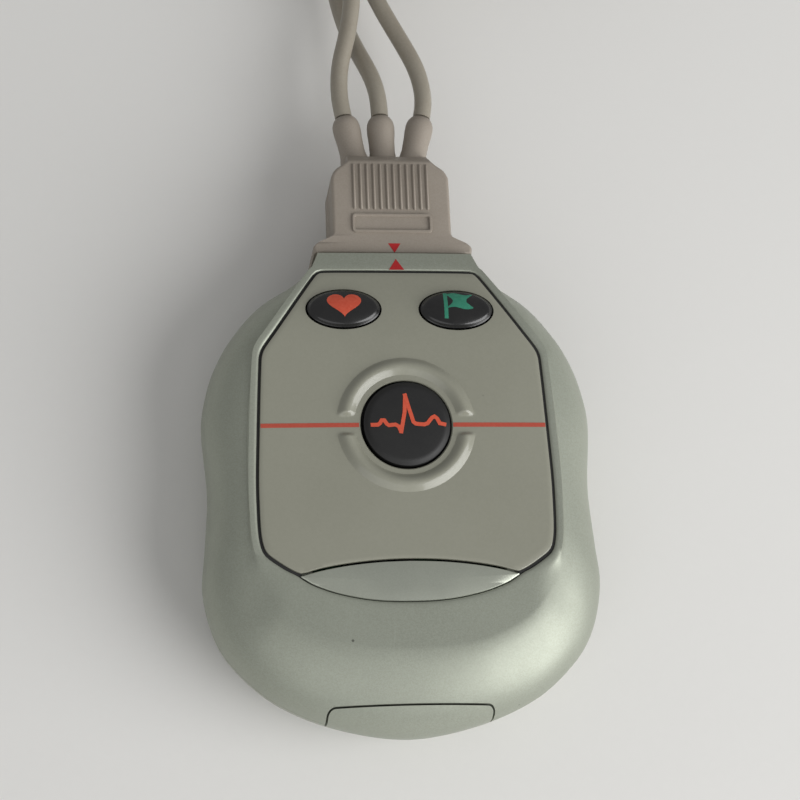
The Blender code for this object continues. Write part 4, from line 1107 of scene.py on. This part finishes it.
# ribEnd: distance from a rib's end, share of its width and of its height
# frameRings: inset, corner radius and height over the plug's top
plug = {
    "start": 0.0383, "centreZ": 0.01145, "halfHeight": 0.00555, "gap": 0.0003, "edge": 0.0006,
    "middle": 0.0095, "lipDraw": 0.0001, "lipRise": 0.00012, "crown": (0.6, 0.3, 0.01), "steps": 3,
    "outline": [(0.0127, 0.0002), (0.0128, 0.0011), (0.01265, 0.0015), (0.0121, 0.0019), (0.0110, 0.0024),
                (0.0101, 0.0029), (0.0097, 0.0035), (0.0096, 0.0045), (0.0096, 0.0125), (0.0094, 0.0139),
                (0.0088, 0.0149), (0.0079, 0.0156), (0.0072, 0.0162), (0.0069, 0.0168), (0.0068, 0.0178),
                (0.0066, 0.0185)],
    "slopeFrom": 0.016, "slopeTo": 0.0188, "slopeDrop": 0.0028,
    "ribs": 12, "ribPitch": 0.00108, "ribHalf": 0.00027, "ribHeight": 0.0004, "ribSink": 0.0002,
    "ribSteps": 8, "ribY": (0.0077, 0.0158),
    "ribEnd": ((0, 0.18, 0.2), (0.0001, 0.675, 0.75), (0.00025, 1, 1)),
    "frameY": (0.0037, 0.0070), "frameHalf": 0.0065, "frameSteps": 5,
    "frameRings": ((0, 0.0006, -0.0002), (0.00003, 0.00058, 0.00024), (0.00012, 0.0005, 0.0004),
                   (0.0004, 0.0003, 0.0004), (0.0005, 0.00026, 0.00024), (0.0005, 0.00026, -0.0002)),
}


def drawnIn(loop, centre, distance):
    result = []
    for x, y in loop:
        inward = Vector((centre[0] - x, centre[1] - y)).normalized() * distance
        result.append((x + inward.x, y + inward.y))
    return result


def makePlugHalf(name, direction):
    right = [(x, plug["start"] + y) for x, y in curveThrough(plug["outline"], plug["steps"])]
    loop = right + [(-x, y) for x, y in reversed(right)]
    inner = plug["centreZ"] + direction * plug["gap"] / 2
    outer = plug["centreZ"] + direction * plug["halfHeight"]
    edge = plug["edge"]
    middle = (0, plug["start"] + plug["middle"])

    def fall(y):
        return plug["slopeDrop"] * smoothStep(y - plug["start"], plug["slopeFrom"], plug["slopeTo"])

    rings = [[(x, y, inner) for x, y in drawnIn(loop, middle, plug["lipDraw"])],
             [(x, y, inner + direction * plug["lipRise"]) for x, y in loop]]
    for degrees in range(0, 91, 18):
        a = math.radians(degrees)
        rings.append([(x, y, outer - direction * (fall(y) + edge * (1 - math.sin(a))))
                      for x, y in drawnIn(loop, middle, edge * (1 - math.cos(a)))])
    last = rings[-1]
    rings += [[(x * share, y, z) for x, y, z in last] for share in plug["crown"]]
    return smoothed(ringStack(name, rings), 40)


def makeRibs():
    base = plug["centreZ"] + plug["halfHeight"] - plug["ribSink"]
    near, far = (plug["start"] + y for y in plug["ribY"])
    stations = [(near + d, wide, high) for d, wide, high in plug["ribEnd"]]
    stations += [(far - d, wide, high) for d, wide, high in reversed(plug["ribEnd"])]
    arc = [math.pi * k / plug["ribSteps"] for k in range(plug["ribSteps"] + 1)]
    ribs = []
    for i in range(plug["ribs"]):
        x = (i - (plug["ribs"] - 1) / 2) * plug["ribPitch"]
        rings = [[(x + plug["ribHalf"] * wide * math.cos(a), y,
                   base + (plug["ribHeight"] + plug["ribSink"]) * high * math.sin(a))
                  for a in arc] for y, wide, high in stations]
        ribs.append(ringStack("rib", rings))
    return smoothed(joined("ribs", ribs), 50)


def makeLabelFrame():
    top = plug["centreZ"] + plug["halfHeight"]
    near, far = (plug["start"] + y for y in plug["frameY"])
    middle = (near + far) / 2
    rings = []
    for inset, radius, rise in plug["frameRings"]:
        halfX, halfY = plug["frameHalf"] - inset - radius, (far - near) / 2 - inset - radius
        loop = roundedLoop((-halfX, middle - halfY), (halfX, middle + halfY), radius, plug["frameSteps"])
        rings.append([(x, y, top + rise) for x, y in loop])
    return smoothed(ringStack("labelFrame", rings + [rings[0]], joinEnds=True), 50)


def makePlug():
    upper = joined("plugUpper", [makePlugHalf("plugUpper", 1), makeRibs(), makeLabelFrame()])
    dressed(upper, plugPlastic, "patient_cable", ["plug_top"])
    lower = makePlugHalf("plugLower", -1)
    dressed(lower, plugPlastic, "patient_cable", ["plug_bottom"])


makePlug()
print("plug made")


# the frame's own solids that stay

keptFinishes = {
    darkPlastic: ["battery_cradle", "socket_body", "main_chip", "memory_chip", "sounder", "event_plunger",
                  "heart_plunger", "marker_plunger", "plug_insert"],
    steelMetal: ["case_screw_1", "case_screw_2", "case_screw_3", "case_screw_4", "cell_spring_left",
                 "cell_spring_right", "crystal", "event_switch", "heart_switch", "marker_switch",
                 "snap_socket_left", "snap_socket_middle", "snap_socket_right"],
    brassMetal: ["cell_bridge", "socket_pin_1", "socket_pin_2", "socket_pin_3", "socket_pin_4"],
    boardMask: ["circuit_board"],
    cellWrap: ["cell_left", "cell_right"],
    sealRubberAndGrooveShade: ["seam_seal"],
}
for material, names in keptFinishes.items():
    for name in names:
        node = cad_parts[name]
        node.data.materials.clear()
        node.data.materials.append(material)
print("inner parts finished")


# floor, light and view

studio = {"floorHalf": 1.5, "floorZ": -0.0001, "world": 0.33, "aim": (0, 0.01, 0.01),
          "lamps": [("key", (0.62, -0.36, 0.42), 0.9, 8.2), ("fill", (-0.3, -0.6, 0.5), 0.8, 1.2)]}


def makeStudio():
    deselectAll()
    bpy.ops.mesh.primitive_grid_add(x_subdivisions=8, y_subdivisions=8, size=2 * studio["floorHalf"],
                                    location=(0, 0, studio["floorZ"]))
    floor = bpy.context.object
    floor.name = "floor"
    bpy.ops.object.transform_apply(location=True)
    paper = finish("floorPaper", (226, 225, 222), (223, 222, 219), (230, 229, 226), patchScale=3,
                   fleckScale=900, fleckAmount=0.1, low=0.85, high=0.95, bump=0.02)
    floor.data.materials.append(paper)
    world = bpy.data.worlds.new("studioWorld")
    world.use_nodes = True
    sky = world.node_tree.nodes["Background"].inputs
    sky["Color"].default_value = (1, 1, 1, 1)
    sky["Strength"].default_value = studio["world"]
    bpy.context.scene.world = world
    for name, where, size, power in studio["lamps"]:
        data = bpy.data.lights.new(name, "AREA")
        data.shape = "DISK"
        data.size = size
        data.energy = power
        lamp = bpy.data.objects.new(name, data)
        lamp.location = where
        ray = Vector(studio["aim"]) - Vector(where)
        lamp.rotation_euler = ray.to_track_quat("-Z", "Y").to_euler()
        bpy.context.scene.collection.objects.link(lamp)
    bpy.context.scene.view_settings.view_transform = "Standard"


makeStudio()
print("studio made")
